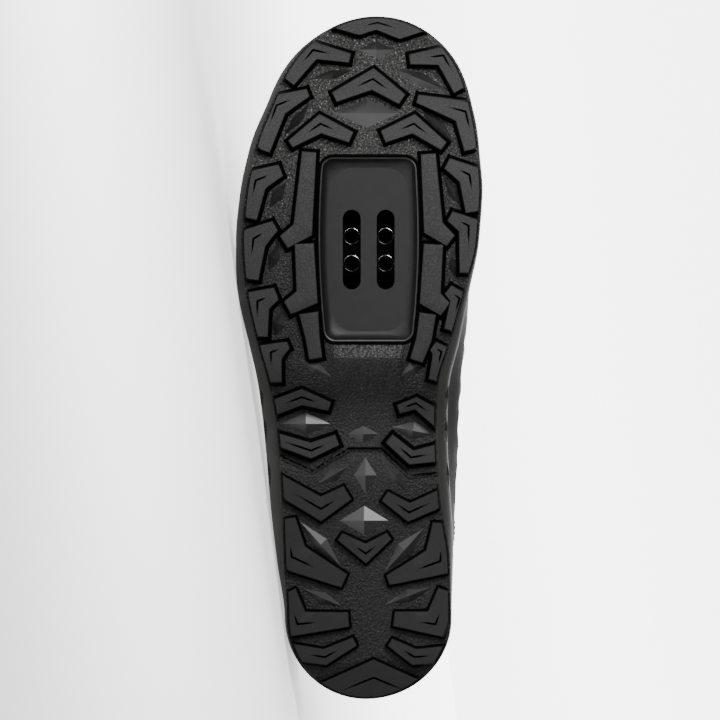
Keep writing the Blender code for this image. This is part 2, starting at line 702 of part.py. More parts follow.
def front_column(side, sign, turn):
    """A column of the upper from the featherline to the throat's edge."""
    share = (1 - COLUMNS_EVEN) * math.sin(turn * math.pi / 2) + COLUMNS_EVEN * turn
    toe = SOLE_LENGTH - TOE_SET
    low_y = COLLAR_CORNER + (toe - COLLAR_CORNER) * share
    high_y = COLLAR_CORNER + (THROAT_FRONT - COLLAR_CORNER) * share
    low_x = float(last_half(side, low_y, float(footbed(low_y)))[0])
    high_x = throat_gap(high_y)
    column = []
    for row in UPPER_ROWS:
        inwards = 1 - math.cos(row * math.pi / 2)
        y = low_y + (high_y - low_y) * inwards
        across = low_x + (high_x - low_x) * inwards
        rise = 0.0 if row == 0 else rise_at(side, y, across)
        column.append(last_point(side, sign, y, rise))
    return column


def heel_column(side, sign, share, corner):
    """A column of the upper from the featherline to the collar's edge."""
    heights = (corner[:, 2] - corner[0, 2]) / (corner[-1, 2] - corner[0, 2])
    y = COLLAR_CORNER * share
    low = float(footbed(y)) + GAP
    collar = np.append(COLLAR["along"], 1.0)
    edge = np.append(COLLAR["height"] * COLLAR_HEIGHT, corner[-1, 2])
    high = float(read({"along": collar, "edge": edge}, "edge", share))
    column = []
    for height in heights:
        z = low + (high - low) * height
        back = float(heel_back(z))
        y = back + (COLLAR_CORNER - back) * share
        rise = max((z - float(footbed(y)) - GAP) / float(ridge(y)), 0)
        column.append(last_point(side, sign, y, rise))
    return column


def normals(grid, closed):
    """The outward direction at each point of a grid of rows and columns."""
    along = np.gradient(grid, axis=0)
    if closed:
        around = np.roll(grid, -1, 1) - np.roll(grid, 1, 1)
    else:
        around = np.gradient(grid, axis=1)
    turned = np.cross(around, along)
    return turned / np.maximum(np.linalg.norm(turned, axis=2)[..., None], 1e-12)


def sheet(grid, outer, inner, closed):
    """A wall between two offsets of a grid, as vertices and faces. Offsets may vary by point."""
    rows, columns, _ = grid.shape
    out = normals(grid, closed)
    points = np.vstack([(grid + out * np.asarray(far)[..., None]).reshape(-1, 3) for far in (outer, inner)])
    under = rows * columns
    faces = []
    for i in range(rows - 1):
        for j in range(columns if closed else columns - 1):
            k = (j + 1) % columns
            quad = (i * columns + j, i * columns + k, (i + 1) * columns + k, (i + 1) * columns + j)
            faces.append(quad)
            faces.append(tuple(under + n for n in reversed(quad)))
    rims = [[(i, j) for j in range(columns)] for i in (0, rows - 1)]
    if not closed:
        rims += [[(i, j) for i in range(rows)] for j in (0, columns - 1)]
    for rim in rims:
        steps = len(rim) if closed else len(rim) - 1
        for n in range(steps):
            a = rim[n][0] * columns + rim[n][1]
            b_at = rim[(n + 1) % len(rim)]
            b = b_at[0] * columns + b_at[1]
            faces.append((a, b, under + b, under + a))
    return points, faces


def upper_grid():
    """The upper's outer face: rows up the wall, columns from the heel round the toe and back."""
    sides = []
    for side, sign in SIDES:
        corner = np.array(front_column(side, sign, 0.0))
        shares = [1 - math.cos(math.pi / 2 * i / HEEL_COLUMNS) for i in range(HEEL_COLUMNS)]
        columns = [heel_column(side, sign, share, corner) for share in shares]
        turns = [i / FRONT_COLUMNS for i in range(FRONT_COLUMNS + 1)]
        columns += [front_column(side, sign, turn) for turn in turns]
        sides.append(columns)
    lateral, medial = sides
    return np.array(lateral + medial[-2:0:-1]).transpose(1, 0, 2)


def make_upper(finish):
    grid = upper_grid()
    rows, columns, _ = grid.shape
    outer = np.zeros((rows, columns))
    outer[:RAND_ROWS] = RAND_RAISE
    near_edge = np.clip((np.array(UPPER_ROWS) - PAD_FROM) / (1 - PAD_FROM), 0, 1)
    along = grid[-1, :, 1] / COLLAR_CORNER
    collar = np.clip((PAD_FRONT - along) / PAD_FADE, 0, 1)
    padded = np.sin(near_edge * math.pi * PAD_ROUND)[:, None] * collar[None, :]
    inner = -(WALL + COLLAR_PAD * np.clip(padded, 0, 1))
    points, faces = sheet(grid, outer, inner, True)
    low = footbed(points[:, 1]) + GAP
    bottom = np.zeros(len(points), bool)
    bottom[:columns] = True
    bottom[rows * columns : rows * columns + columns] = True
    points[:, 2] = np.where(bottom, low, np.maximum(points[:, 2], low))
    return body("upper", (points, faces), finish)


def over_instep(y, across):
    """A point on the last over the instep, at a distance from its middle."""
    side, sign = SIDES[0] if across >= 0 else SIDES[1]
    return last_point(side, sign, y, rise_at(side, y, across))


def make_tongue(finish):
    rows = []
    for step in np.linspace(0, 1, TONGUE_ROWS):
        y = TONGUE_TOP + (TONGUE_FRONT - TONGUE_TOP) * step
        top = rounded(step + TONGUE_TOP_START, TONGUE_TOP_ROUND)
        tip = rounded(TONGUE_TIP_END - step, TONGUE_TIP_ROUND)
        half = TONGUE_WIDTH / 2 * float(top * tip)
        rows.append([over_instep(y, half * share) for share in np.linspace(1, -1, TONGUE_ROWS)])
    grid = np.array(rows)
    outer = -(WALL + TONGUE_GAP)
    return body("tongue", sheet(grid[::-1], outer, outer - TONGUE_THICK, False), finish)


def strap_grid(along):
    """A band over the instep from one side of the shoe to the other."""
    middle = along * SOLE_LENGTH
    rows = []
    for y in np.linspace(middle + STRAP_WIDTH / 2, middle - STRAP_WIDTH / 2, STRAP_ROWS):
        power = float(read(LAST, "fullness", y / SOLE_LENGTH))
        row = []
        for side, sign in SIDES:
            turns = np.linspace(STRAP_REACH, 1, STRAP_COLUMNS)
            turns = turns if sign > 0 else turns[-2::-1]
            row += [last_point(side, sign, y, math.sin(t * math.pi / 2) ** (2 / power)) for t in turns]
        rows.append(row)
    return np.array(rows)


def make_straps(finish):
    straps = []
    for name, along in STRAPS_ALONG.items():
        grid = strap_grid(along)
        straps.append(body(name, sheet(grid, SHEET_GAP + STRAP_THICK, SHEET_GAP, False), finish))
    return straps


def make_insole(finish):
    inset = FEATHER_INSET + WALL + INSOLE_FIT
    start = float(heel_back(0.0))
    end = SOLE_LENGTH - TOE_SET
    rings = []
    for lift in (0, INSOLE_THICK):
        rings.append(ring(lambda y: footbed(y) + 2 * GAP + lift, inset, FEATHER_FLARE, start, end))
    return body("insole", loft(rings), finish)


def world_points(made):
    return np.array([v.co[:] for v in made.data.vertices])


def weight_and_middle(made, density):
    """A piece's weight, and its weight times its middle."""
    made.data.calc_loop_triangles()
    points = world_points(made)
    corners = points[[list(t.vertices) for t in made.data.loop_triangles]]
    parts = np.einsum("ij,ij->i", corners[:, 0], np.cross(corners[:, 1], corners[:, 2])) / 6
    return density * parts.sum(), density * (parts[:, None] * corners.sum(1) / 4).sum(0)


def resting_side(pieces):
    """The way down when the shoe lies on its lateral side: out of the face of its hull under its middle."""
    weighed = [weight_and_middle(made, density) for made, density in pieces]
    middle = sum(moment for _, moment in weighed) / sum(weight for weight, _ in weighed)
    hull = bmesh.new()
    for made, _ in pieces:
        for point in world_points(made):
            hull.verts.new(point)
    bmesh.ops.convex_hull(hull, input=hull.verts)
    best = None
    for face in hull.faces:
        corners = [np.array(v.co) for v in face.verts]
        down = np.cross(corners[1] - corners[0], corners[2] - corners[0])
        size = np.linalg.norm(down)
        if size < 1e-12:
            continue
        down = down / size
        if down @ (corners[0] - middle) < 0:
            down = -down
        under = middle + down * (down @ (corners[0] - middle))
        turns = []
        for i in range(3):
            edge = corners[(i + 1) % 3] - corners[i]
            turns.append(np.cross(edge, under - corners[i]) @ down)
        if (min(turns) >= 0 or max(turns) <= 0) and (best is None or down[0] > best[0]):
            best = down
    hull.free()
    return best


def lay_down(shoe, pieces):
    """Turns the empty so that the lateral side is down and the toe points to -X, on the floor."""
    down = resting_side(pieces)
    toe = np.array([0.0, 1.0, 0.0])
    heelwards = -(toe - down * (toe @ down))
    heelwards /= np.linalg.norm(heelwards)
    up = -down
    turn = np.array([heelwards, np.cross(up, heelwards), up])
    placed = np.vstack([world_points(made) for made, _ in pieces]) @ turn.T
    low = placed.min(0)
    high = placed.max(0)
    move = -np.array([(low[0] + high[0]) / 2, (low[1] + high[1]) / 2, low[2]])
    matrix = Matrix.Translation(move.tolist()) @ Matrix(turn.tolist()).to_4x4()
    shoe.matrix_world = matrix


def main():
    for old in list(bpy.data.objects):
        bpy.data.objects.remove(old, do_unlink=True)
    rubber = material("tread_rubber", "#3e3e3c", 0.75)
    sidewall = material("moulded_sidewall", "#4a4846", 0.6)
    nylon = material("glass_filled_nylon", "#333333", 0.45)
    steel = material("zinc_plated_steel", "#8d8d8a", 0.4, 1.0)
    film = material("coated_textile", "#2b2b2c", 0.5)
    lining = material("tongue_textile", "#242425", 0.85)
    webbing = material("strap_film", "#262627", 0.55)
    foam = material("insole_foam", "#3a3b3d", 0.9)
    pieces = [
        (make_outsole(rubber), RUBBER_WEIGHT),
        (make_midsole(sidewall), FOAM_WEIGHT),
        (make_cleat_plate(nylon), NYLON_WEIGHT),
        (make_nut_plate(steel), STEEL_WEIGHT),
        (make_insole(foam), PAD_WEIGHT),
        (make_upper(film), CLOTH_WEIGHT),
        (make_tongue(lining), PAD_WEIGHT),
    ]
    pieces += [(strap, CLOTH_WEIGHT) for strap in make_straps(webbing)]
    shoe = bpy.data.objects.new("shoe", None)
    bpy.context.scene.collection.objects.link(shoe)
    for made, _ in pieces:
        made.parent = shoe
        made.data.shade_smooth()
        made.data.set_sharp_from_angle(angle=math.radians(30))
    lay_down(shoe, pieces)


main()
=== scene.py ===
"""A cycling shoe for the right foot: its tread, side wall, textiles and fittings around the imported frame.

Shapes are worked out standing, X to the lateral side, Y from heel to toe and Z up from the ground,
and are then laid down with the frame, whose mounts give the shoe's own axes.
"""

import json
import math
from functools import cache

import bmesh
import bpy
import numpy as np
from mathutils import Matrix, Vector


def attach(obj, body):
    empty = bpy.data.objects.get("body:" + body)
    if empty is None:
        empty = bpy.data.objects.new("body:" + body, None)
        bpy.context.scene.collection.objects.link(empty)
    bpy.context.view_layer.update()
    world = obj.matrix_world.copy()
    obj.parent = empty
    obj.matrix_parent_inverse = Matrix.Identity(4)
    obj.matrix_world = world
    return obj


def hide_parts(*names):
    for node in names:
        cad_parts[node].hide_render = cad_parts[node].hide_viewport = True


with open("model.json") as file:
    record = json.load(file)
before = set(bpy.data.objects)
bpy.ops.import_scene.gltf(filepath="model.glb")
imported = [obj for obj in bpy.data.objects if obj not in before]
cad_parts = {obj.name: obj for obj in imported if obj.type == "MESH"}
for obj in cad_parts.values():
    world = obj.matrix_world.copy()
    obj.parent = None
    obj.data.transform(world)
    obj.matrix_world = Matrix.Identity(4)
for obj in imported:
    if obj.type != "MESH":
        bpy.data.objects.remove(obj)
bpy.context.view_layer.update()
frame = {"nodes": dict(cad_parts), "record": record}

MM = 0.001

# Sizes of the sole
SOLE_LENGTH = 0.2825
BALL_WIDTH = 0.101
HEEL_ROUND = 0.033
TOE_ROUND = 0.050
SIDE_FLARE = 0.005
TOE_SPRING = 0.024
SPRING_POWER = 1.8
ARCH_RISE = 0.0035
HEEL_BEVEL = 0.004
BEVEL_POWER = 1.5
SPRING_START = 0.735
BEVEL_END = 0.062
ARCH_FROM = 0.31
ARCH_TO = 0.50
MIDSOLE_HEEL = 0.020

# Sizes of the tread
LUG_HEIGHT = 0.005
RAIL_HEIGHT = 0.0042
FACET_HEIGHT = 0.0022
HEEL_STEP = 0.0015
SHELF_RISE = 0.0016
SHELF_LINE = 0.1408
SHELF_HALF = 0.0140
SHELF_MIDDLE = -0.0008
# Where the shelf behind the pocket starts, is highest and ends, as shares of the sole's length.
SHELF_ALONG = (0.43, 0.500, 0.521)
OUTSOLE_BASE = 0.002
LUG_WIDTH = 0.005
LUG_DRAFT = 0.0014
TREAD_EDGE = 0.0006
FACET_EDGE = 0.0009
SIPE_WIDTH = 0.0009
SIPE_DEPTH = 0.0012
# The width that a groove keeps where it runs out, so that its edges never cross.
SIPE_LEAST = 0.02 * MM
# A groove runs out over this share of its way from the bend to its end, and its shoulders lie at
# this share of its depth.
SIPE_TAPER = 0.7
SIPE_SHOULDER = 0.6
BUMPER_TAPER = 0.35
# Where the heel pad's face rises, before and behind its line.
PAD_RISE = (-0.2 * MM, 0.3 * MM)
FACET_SINK = 0.2 * MM
HEEL_GROOVE_AHEAD = 0.3 * MM
HEEL_BEAD_AHEAD = -0.75 * MM
TOP_INSET = 0.0005
# Points outside the outline move in towards the centre line between these shares of the length.
ANCHOR_SHARES = (0.12, 0.80)

# Sizes of the cleat pocket
POCKET_LENGTH = 0.263 * SOLE_LENGTH
POCKET_FRONT = 0.396 * BALL_WIDTH
POCKET_REAR = 0.3465 * BALL_WIDTH
POCKET_CENTRE = (-0.0109 * BALL_WIDTH, 0.6566 * SOLE_LENGTH)
SLOT_SPACING = 0.014
NUT_PITCH = 0.0112
NUT_HEIGHT = 0.0108
POCKET_CORNER = 0.0036
# How far the pocket's sides bow out: at the middle, and for each half length from it and its square.
POCKET_BOW = (0.0011, -0.0008, -0.0019)
POCKET_SLOPE = 0.0019
PLATE_LEDGE = 0.0018
PLATE_LEVEL = 0.0085
PLATE_THICK = 0.003
NUT_ROOM = 0.004
LIP_RADIUS = 0.0004
SHUT_OFF_RADIUS = 0.0007
DISH_THICK = 0.25 * MM
# How far out of the pocket's outline its window, the midsole's hole, the lip and the dark line of painted
# shade are.
WINDOW_MARGIN = 0.3 * MM
HOLE_MARGIN = 0.4 * MM
LIP_OUT = 0.5 * MM
SHUT_OFF_OUT = 1.5 * MM

# Sizes of the last and the upper
INSTEP_RISE = 0.097
COLLAR_HEIGHT = 0.088
HEEL_CURVE = 0.012
FEATHER_INSET = 0.0015
FEATHER_FLARE = 0.72
TOE_SET = 0.0025
SWELL = 0.009
SWELL_TOP = 0.56
WALL = 0.0022
RAND_RAISE = 0.0008
OVERLAY_RAISE = 0.0007
COLLAR_PAD = 0.0040
PAD_FROM = 0.6
PAD_ROUND = 0.75
PAD_FRONT = 0.85
PAD_FADE = 0.3
COLLAR_CORNER = 0.112
THROAT_FRONT = 0.195
THROAT_REAR_GAP = 0.022
THROAT_FRONT_GAP = 0.014

# Sizes of the soft pieces
INSOLE_THICK = 0.0035
INSOLE_FIT = 0.0012
# The insole's rounded edge: share of its thickness, and how far it is drawn in there.
INSOLE_EDGE = ((0, 0), (0.75, 0), (0.95, 0.0004), (1.0, 0.0012))
TONGUE_THICK = 0.004
TONGUE_WIDTH = 0.056
TONGUE_FRONT = 0.203
TONGUE_TOP = 0.099
TONGUE_TOP_START = 0.04
TONGUE_TOP_ROUND = 0.32
TONGUE_TIP_END = 1.10
TONGUE_TIP_ROUND = 0.5
TONGUE_QUILT = 0.0003
TONGUE_ROUND = 0.0008
# How thick the tongue is at its edge, and how much more at its middle, as shares.
TONGUE_EDGE = (0.35, 0.6)
STRAP_WIDTH = 0.022
STRAP_THICK = 0.0018
STRAP_REACH = 0.36
STRAP_TAB = 0.10
STRAP_ROUND = 0.0007
STRAP_WELT = 0.0003
STRAP_SEAM = 0.14
# Where the pressed line inside a strap's edge is, and its width, as shares of the half width.
STRAP_LINE = (0.72, 0.07)
# The share of its full width that a strap still has at the very tip of its rounded end.
STRAP_TIP = 0.55
GAP = 0.0003
SHEET_GAP = 0.0008
TONGUE_GAP = 0.0018

# Where the record's flat spots are on the standing shoe
HEEL_SPOT = np.array([0.0306, 0.0588])
BALL_SPOT = np.array([0.0460, 0.1898])

# How finely the curves are drawn
LEG_STEPS = 11
BUMPER_COLUMNS = 60
STATIONS = 130
TREAD_STATIONS = 330
TREAD_COLUMNS = 61
TRIM_HALVINGS = 18
HEEL_EDGE_STEPS = 12
HEEL_COLUMNS = 44
FRONT_COLUMNS = 76
TONGUE_COUNT = 41
STRAP_ROWS = 19
STRAP_TURNS = 44
ROUND_SIDES = 48
SIDE_STEPS = 16
STITCH_SIDES = 6

SIDES = (("lateral", 1), ("medial", -1))


def table(columns, *rows):
    """The rows of a table as one array for each named column."""
    return dict(zip(columns.split(), np.array(rows, float).T))


# Along is a share of the sole's length, widths of the ball width, flares of the side flare,
# body of the midsole's thickness at the heel. The toe turns to the medial side.
SOLE = table(
    "along centre lateral medial lateral_flare medial_flare body",
    (0.00, 0.000, 0.325, 0.345, 0.1, 0.1, 1.00),
    (0.12, 0.000, 0.323, 0.346, 0.2, 0.1, 1.00),
    (0.20, 0.000, 0.335, 0.342, 0.6, 0.3, 0.98),
    (0.30, 0.000, 0.346, 0.301, 1.0, 0.9, 0.90),
    (0.40, 0.000, 0.366, 0.288, 1.1, 0.9, 0.79),
    (0.46, 0.000, 0.398, 0.296, 0.9, 0.9, 0.71),
    (0.52, 0.000, 0.445, 0.345, 0.7, 0.7, 0.65),
    (0.60, 0.000, 0.493, 0.410, 0.7, 0.3, 0.56),
    (0.67, 0.000, 0.508, 0.458, 0.5, 0.1, 0.50),
    (0.74, -0.004, 0.495, 0.468, 0.5, 0.1, 0.45),
    (0.80, -0.010, 0.466, 0.450, 0.5, 0.1, 0.41),
    (0.88, -0.020, 0.418, 0.425, 0.4, 0.1, 0.35),
    (0.95, -0.033, 0.425, 0.430, 0.3, 0.1, 0.30),
    (1.00, -0.044, 0.430, 0.430, 0.0, 0.0, 0.27),
)

# Ridge is the last's height over the featherline as a share of the instep rise, fullness the
# power of its section, and the swells are shares of the swell: how far a side bulges low down.
LAST = table(
    "along ridge fullness lateral_swell medial_swell",
    (0.00, 1.35, 1.30, 0.30, 0.30),
    (0.10, 1.30, 1.30, 0.45, 0.40),
    (0.20, 1.20, 1.30, 0.60, 0.60),
    (0.30, 1.00, 1.45, 0.45, 0.95),
    (0.43, 0.78, 1.80, 0.15, 1.05),
    (0.54, 0.72, 1.90, 0.05, 0.60),
    (0.64, 0.63, 1.95, 0.05, 0.15),
    (0.72, 0.55, 2.05, 0.10, 0.10),
    (0.80, 0.46, 2.20, 0.10, 0.10),
    (0.90, 0.355, 2.30, 0.10, 0.10),
    (1.00, 0.20, 2.30, 0.00, 0.00),
)

# The back of the heel: height as a share of the collar height, set as a share of the heel curve.
HEEL_BACK = table(
    "along set",
    (0.00, 0.62), (0.30, 0.50), (0.52, 0.25), (0.70, 0.42), (0.87, 0.75), (1.05, 1.05),
)

# The collar's edge: along as a share of the collar's corner, height of the collar height.
COLLAR = table(
    "along height",
    (0.00, 1.00), (0.12, 0.99), (0.30, 0.92), (0.52, 0.84), (0.74, 0.89), (0.90, 0.96),
)

# The side of the midsole from tread to foot: height of its body, spread of the flare.
MIDSOLE_SIDE = (
    (0.00, -0.10), (0.03, 0.10), (0.10, 0.40), (0.20, 0.72), (0.32, 0.92), (0.45, 0.99),
    (0.60, 1.00), (0.625, 0.97), (0.645, 0.84), (0.66, 0.77), (0.72, 0.77), (0.735, 0.86),
    (0.755, 0.95), (0.78, 0.97), (0.88, 0.92), (0.96, 0.84), (0.99, 0.77), (1.00, FEATHER_FLARE),
)

# Chevron lugs: the inner tip, the elbow and the outer tip, each as across, along and width.
# Across is in hundredths of the ball width, along of the sole's length, width of LUG_WIDTH.
# Then the shares of the two legs where the groove in the lug's top starts and ends.
LUGS = {
    "toe_lateral": ((6.5, 93.7, 80), (21.7, 94.9, 142), (32.0, 90.4, 130), 0.5, 0.45),
    "toe_medial": ((-17.8, 93.5, 86), (-31.6, 94.1, 152), (-39.4, 89.2, 160), 0.5, 0.45),
    "forefoot_centre": ((13.0, 87.9, 92), (-2.8, 90.6, 160), (-14.8, 87.6, 100), 0.5, 0.55),
    "side2_lateral": ((23.6, 88.6, 70), (36.6, 86.7, 186), (43.0, 80.2, 160), 0.5, 0.45),
    "side2_medial": ((-20.9, 87.7, 74), (-40.6, 85.8, 196), (-44.3, 80.3, 174), 0.6, 0.5),
    "chevron_lateral": ((30.9, 81.0, 70), (18.6, 84.0, 144), (6.0, 82.0, 96), 0.5, 0.5),
    "chevron_medial": ((-7.0, 82.1, 108), (-19.5, 84.0, 144), (-31.8, 80.7, 82), 0.5, 0.5),
    "side3_lateral": ((34.7, 77.2, 104), (45.0, 75.7, 190), (48.4, 70.2, 160), 0.45, 0.4),
    "side3_medial": ((-33.0, 78.2, 98), (-42.2, 76.5, 180), (-44.3, 71.1, 150), 0.5, 0.45),
    "side4_lateral": ((37.0, 69.1, 94), (45.9, 67.2, 212), (48.0, 61.3, 170), 0.5, 0.45),
    "side4_medial": ((-34.2, 70.5, 92), (-41.8, 69.1, 160), (-41.8, 62.2, 150), 0.5, 0.45),
    "side5_lateral": ((36.5, 59.2, 110), (44.3, 58.1, 200), (44.7, 52.9, 190), 0.45, 0.5),
    "side5_medial": ((-33.4, 59.8, 92), (-38.1, 58.5, 136), (-34.4, 53.8, 110), 0.5, 0.5),
    "side6_lateral": ((31.6, 51.7, 64), (38.9, 50.6, 180), (38.5, 46.2, 170), 0.5, 0.45),
    "side6_medial": ((-27.3, 51.6, 86), (-30.7, 50.7, 130), (-27.9, 46.5, 100), 0.4, 0.5),
    "waist1_lateral": ((14.8, 42.7, 78), (26.2, 44.1, 128), (41.0, 42.1, 130), 0.4, 0.55),
    "waist1_medial": ((-13.1, 42.3, 78), (-20.3, 43.2, 94), (-30.8, 40.6, 150), 0.3, 0.5),
    "waist2_lateral": ((11.7, 37.9, 98), (22.5, 36.3, 128), (40.2, 38.4, 100), 0.35, 0.7),
    "waist2_medial": ((-9.3, 38.1, 94), (-18.4, 35.3, 112), (-32.8, 36.2, 160), 0.4, 0.55),
    "heel1_lateral": ((7.5, 30.2, 132), (18.4, 27.8, 180), (38.1, 31.9, 160), 0.4, 0.6),
    "heel1_medial": ((-7.6, 29.7, 96), (-17.5, 27.3, 140), (-34.0, 29.9, 150), 0.4, 0.6),
    "heel2_centre": ((10.7, 23.8, 74), (0.1, 21.3, 138), (-9.5, 23.9, 70), 0.55, 0.45),
    "heel2_lateral": ((8.8, 17.3, 124), (30.3, 20.8, 250), (32.8, 26.4, 166), 0.55, 0.3),
    "heel2_medial": ((-8.8, 17.4, 88), (-30.3, 20.2, 250), (-31.2, 25.8, 166), 0.55, 0.3),
    "heel3_lateral": ((7.0, 11.7, 124), (27.9, 11.0, 196), (32.8, 15.7, 180), 0.6, 0.35),
    "heel3_medial": ((-11.3, 11.8, 124), (-28.3, 11.0, 196), (-33.6, 15.8, 180), 0.6, 0.35),
    "heel4_lateral": ((4.5, 8.5, 78), (16.8, 6.2, 132), (31.2, 7.0, 140), 0.5, 0.5),
    "heel4_medial": ((-9.7, 8.4, 74), (-19.7, 6.2, 132), (-34.0, 6.7, 140), 0.5, 0.5),
    "heel5_centre": ((20.0, -0.2, 240), (-3.1, 3.2, 280), (-26.0, -0.2, 240), 0.35, 0.65),
}
RAILS = {
    "rail1_lateral": ((23.2, 79.9, 120), (25.8, 68.5, 160), (33.6, 66.7, 120)),
    "rail1_medial": ((-25.4, 79.6, 124), (-27.5, 68.8, 160), (-34.6, 66.9, 112)),
    "rail2_lateral": ((25.2, 66.5, 160), (24.0, 58.7, 170), (32.1, 57.1, 124)),
    "rail2_medial": ((-27.5, 66.4, 160), (-26.2, 58.5, 170), (-32.4, 56.9, 130)),
    "rail3_lateral": ((23.4, 56.4, 160), (21.8, 52.8, 120), (20.5, 49.7, 112)),
    "rail3_medial": ((-25.2, 56.3, 138), (-23.6, 52.5, 130), (-20.5, 49.4, 110)),
}

# The toe bumper's rear edge and groove, and the heel pad's front edge, in the same hundredths.
BUMPER_EDGE = ((13.0, 98.2), (2.8, 97.1), (-4.2, 97.9), (-13.8, 96.5), (-23.8, 97.7))
BUMPER_GROOVE = ((1.2, 98.45), (-4.7, 98.97), (-12.3, 98.16))
HEEL_EDGE = ((36.5, 35.6), (21.8, 33.2), (6.9, 36.5), (-6.0, 36.5), (-17.5, 32.5), (-30.5, 33.0))

# Faceted pads between the lugs: across and along in the same hundredths, length and width in
# hundredths of LUG_WIDTH, and the turn of the length from across towards the toe, in degrees.
FACETS = {
    "toe": (-4.3, 95.0, 332, 160, 0),
    "forefoot": (-0.4, 85.6, 600, 272, 0),
    "toe_lateral": (13.9, 91.3, 380, 88, -12),
    "toe_medial": (-22.1, 90.6, 510, 136, 23),
    "side2_lateral": (28.3, 84.6, 410, 88, -51),
    "side2_medial": (-29.5, 83.6, 530, 120, 46),
    "side3_lateral": (36.1, 73.6, 270, 116, -57),
    "side3_medial": (-35.7, 73.9, 330, 104, 56),
    "side4_lateral": (37.7, 64.5, 270, 112, -70),
    "side4_medial": (-35.7, 63.1, 210, 92, 78),
    "side5_lateral": (35.7, 54.8, 250, 130, -75),
    "waist_lateral": (24.6, 40.2, 440, 200, 0),
    "waist_medial": (-19.1, 39.2, 380, 168, 10),
    "waist_centre": (1.2, 38.7, 290, 150, 0),
    "breast_lateral": (13.5, 32.7, 340, 124, -30),
    "breast_centre": (0.3, 32.7, 340, 210, 90),
    "breast_medial": (-11.9, 32.6, 380, 104, 51),
    "heel1_centre": (0.8, 26.1, 440, 270, 0),
    "heel2_lateral": (18.5, 22.6, 560, 150, 48),
    "heel2_medial": (-15.6, 21.8, 540, 160, -48),
    "heel3_lateral": (17.6, 14.8, 400, 112, 24),
    "heel3_medial": (-17.2, 15.1, 450, 120, -20),
    "rail_end_lateral": (20.5, 48.3, 350, 120, 29),
    "rail_end_medial": (-19.3, 48.3, 350, 120, -29),
}

# The edge of a lug, from the tread's base to its top: how far out as a share of the draft, how
# deep as a share of the lug's height, and how much painted shade its wall has there.
LUG_EDGE = (
    (1.25, 1.25, 0), (1.12, 1.02, 0.3), (0.90, 0.93, 1),
    (0.10, 0.09, 1), (-0.06, 0.03, 0.5), (-0.25, 0, 0),
)

# The pocket's sloping wall: how far down to the plate, how far in, and its corner's radius.
POCKET_DISH = (
    (0.0, 0.0, 0.0036), (0.45, 0.0007, 0.0042), (0.75, 0.0014, 0.0052), (0.93, 0.0024, 0.0066),
    (0.985, 0.0034, 0.0080),
)

# A nut's turned rim: radii and heights out of the nut's face, all round its section.
NUT_RIM = (
    (0.00220, -0.0010), (0.00225, 0.0002), (0.00240, 0.00036), (0.00255, 0.0002), (0.00270, -0.0001),
    (0.00285, -0.00015), (0.00297, 0.0), (0.00309, -0.00015), (0.00321, -0.0003), (0.00333, -0.00015),
    (0.00345, -0.0003), (0.00355, -0.0005), (0.00360, -0.0012),
)

# Rhomb dents in the midsole's side, along the length, and their size.
DENTS_ALONG = (0.327, 0.392, 0.440)
DENT_LENGTH = 0.011
DENT_HEIGHT = 0.0055
DENT_DEPTH = 0.0012
DENT_LEVEL = 0.32

STRAPS_ALONG = {"strap_front": 0.648, "strap_middle": 0.545, "strap_rear": 0.442}

# Creases of the forefoot: along as a share of the sole's length, slant towards the toe for each
# metre over a level, and depth.
CREASES = ((0.655, 0.25, 0.0006), (0.700, 0.35, 0.0008), (0.745, 0.45, 0.0005))
CREASE_WIDTH = 0.0045
CREASE_LEVEL = 0.04


def read(rows, column, share):
    """A column between its rows, on a smooth curve that never overshoots them."""
    x = rows["along"]
    y = rows[column]
    at = np.clip(np.asarray(share, float), x[0], x[-1])
    step = np.diff(x)
    slope = np.diff(y) / step
    same_way = slope[:-1] * slope[1:] > 0
    total = np.where(same_way, slope[:-1] + slope[1:], 1.0)
    inner = np.where(same_way, 2 * slope[:-1] * slope[1:] / total, 0.0)
    tangent = np.concatenate([slope[:1], inner, slope[-1:]])
    i = np.clip(np.searchsorted(x, at, side="right") - 1, 0, len(x) - 2)
    t = (at - x[i]) / step[i]
    value = (1 + 2 * t) * (1 - t) ** 2 * y[i] + t**2 * (3 - 2 * t) * y[i + 1]
    return value + step[i] * (t * (1 - t) ** 2 * tangent[i] - t**2 * (1 - t) * tangent[i + 1])


def rounded(distance, radius):
    """From 0 at an end to 1 at a radius away from it, as a quarter of an ellipse."""
    t = np.clip(np.asarray(distance) / radius, 0, 1)
    return np.sqrt(1 - (1 - t) ** 2)


def smooth(value, low, high):
    """From 0 at the low value to 1 at the high one, with soft ends."""
    t = np.clip((np.asarray(value, float) - low) / (high - low), 0, 1)
    return t * t * (3 - 2 * t)


def toe_spring(y):
    """How far the toe curls up from the floor."""
    share = np.asarray(y) / SOLE_LENGTH
    return TOE_SPRING * np.clip((share - SPRING_START) / (1 - SPRING_START), 0, None) ** SPRING_POWER


def ground(y):
    """The tread's height over the floor: heel bevel, arch and toe spring."""
    share = np.asarray(y) / SOLE_LENGTH
    bevel = HEEL_BEVEL * np.clip(1 - share / BEVEL_END, 0, None) ** BEVEL_POWER
    arch = np.clip((share - ARCH_FROM) / (ARCH_TO - ARCH_FROM), 0, 1)
    return bevel + ARCH_RISE * np.sin(math.pi * arch) ** 2 + toe_spring(y)


def midsole_base(y):
    """The level where the midsole's underside lies on the tread."""
    return ground(y) + LUG_HEIGHT + OUTSOLE_BASE


def footbed(y):
    """The level that the foot's insole lies on, with no arch or bevel in it."""
    body_height = MIDSOLE_HEEL * read(SOLE, "body", np.asarray(y) / SOLE_LENGTH)
    return LUG_HEIGHT + OUTSOLE_BASE + body_height + toe_spring(y)


def midsole_level(y, height):
    """A level of the midsole, from 0 at the tread to 1 at the footbed."""
    return midsole_base(y) + height * (footbed(y) - midsole_base(y))


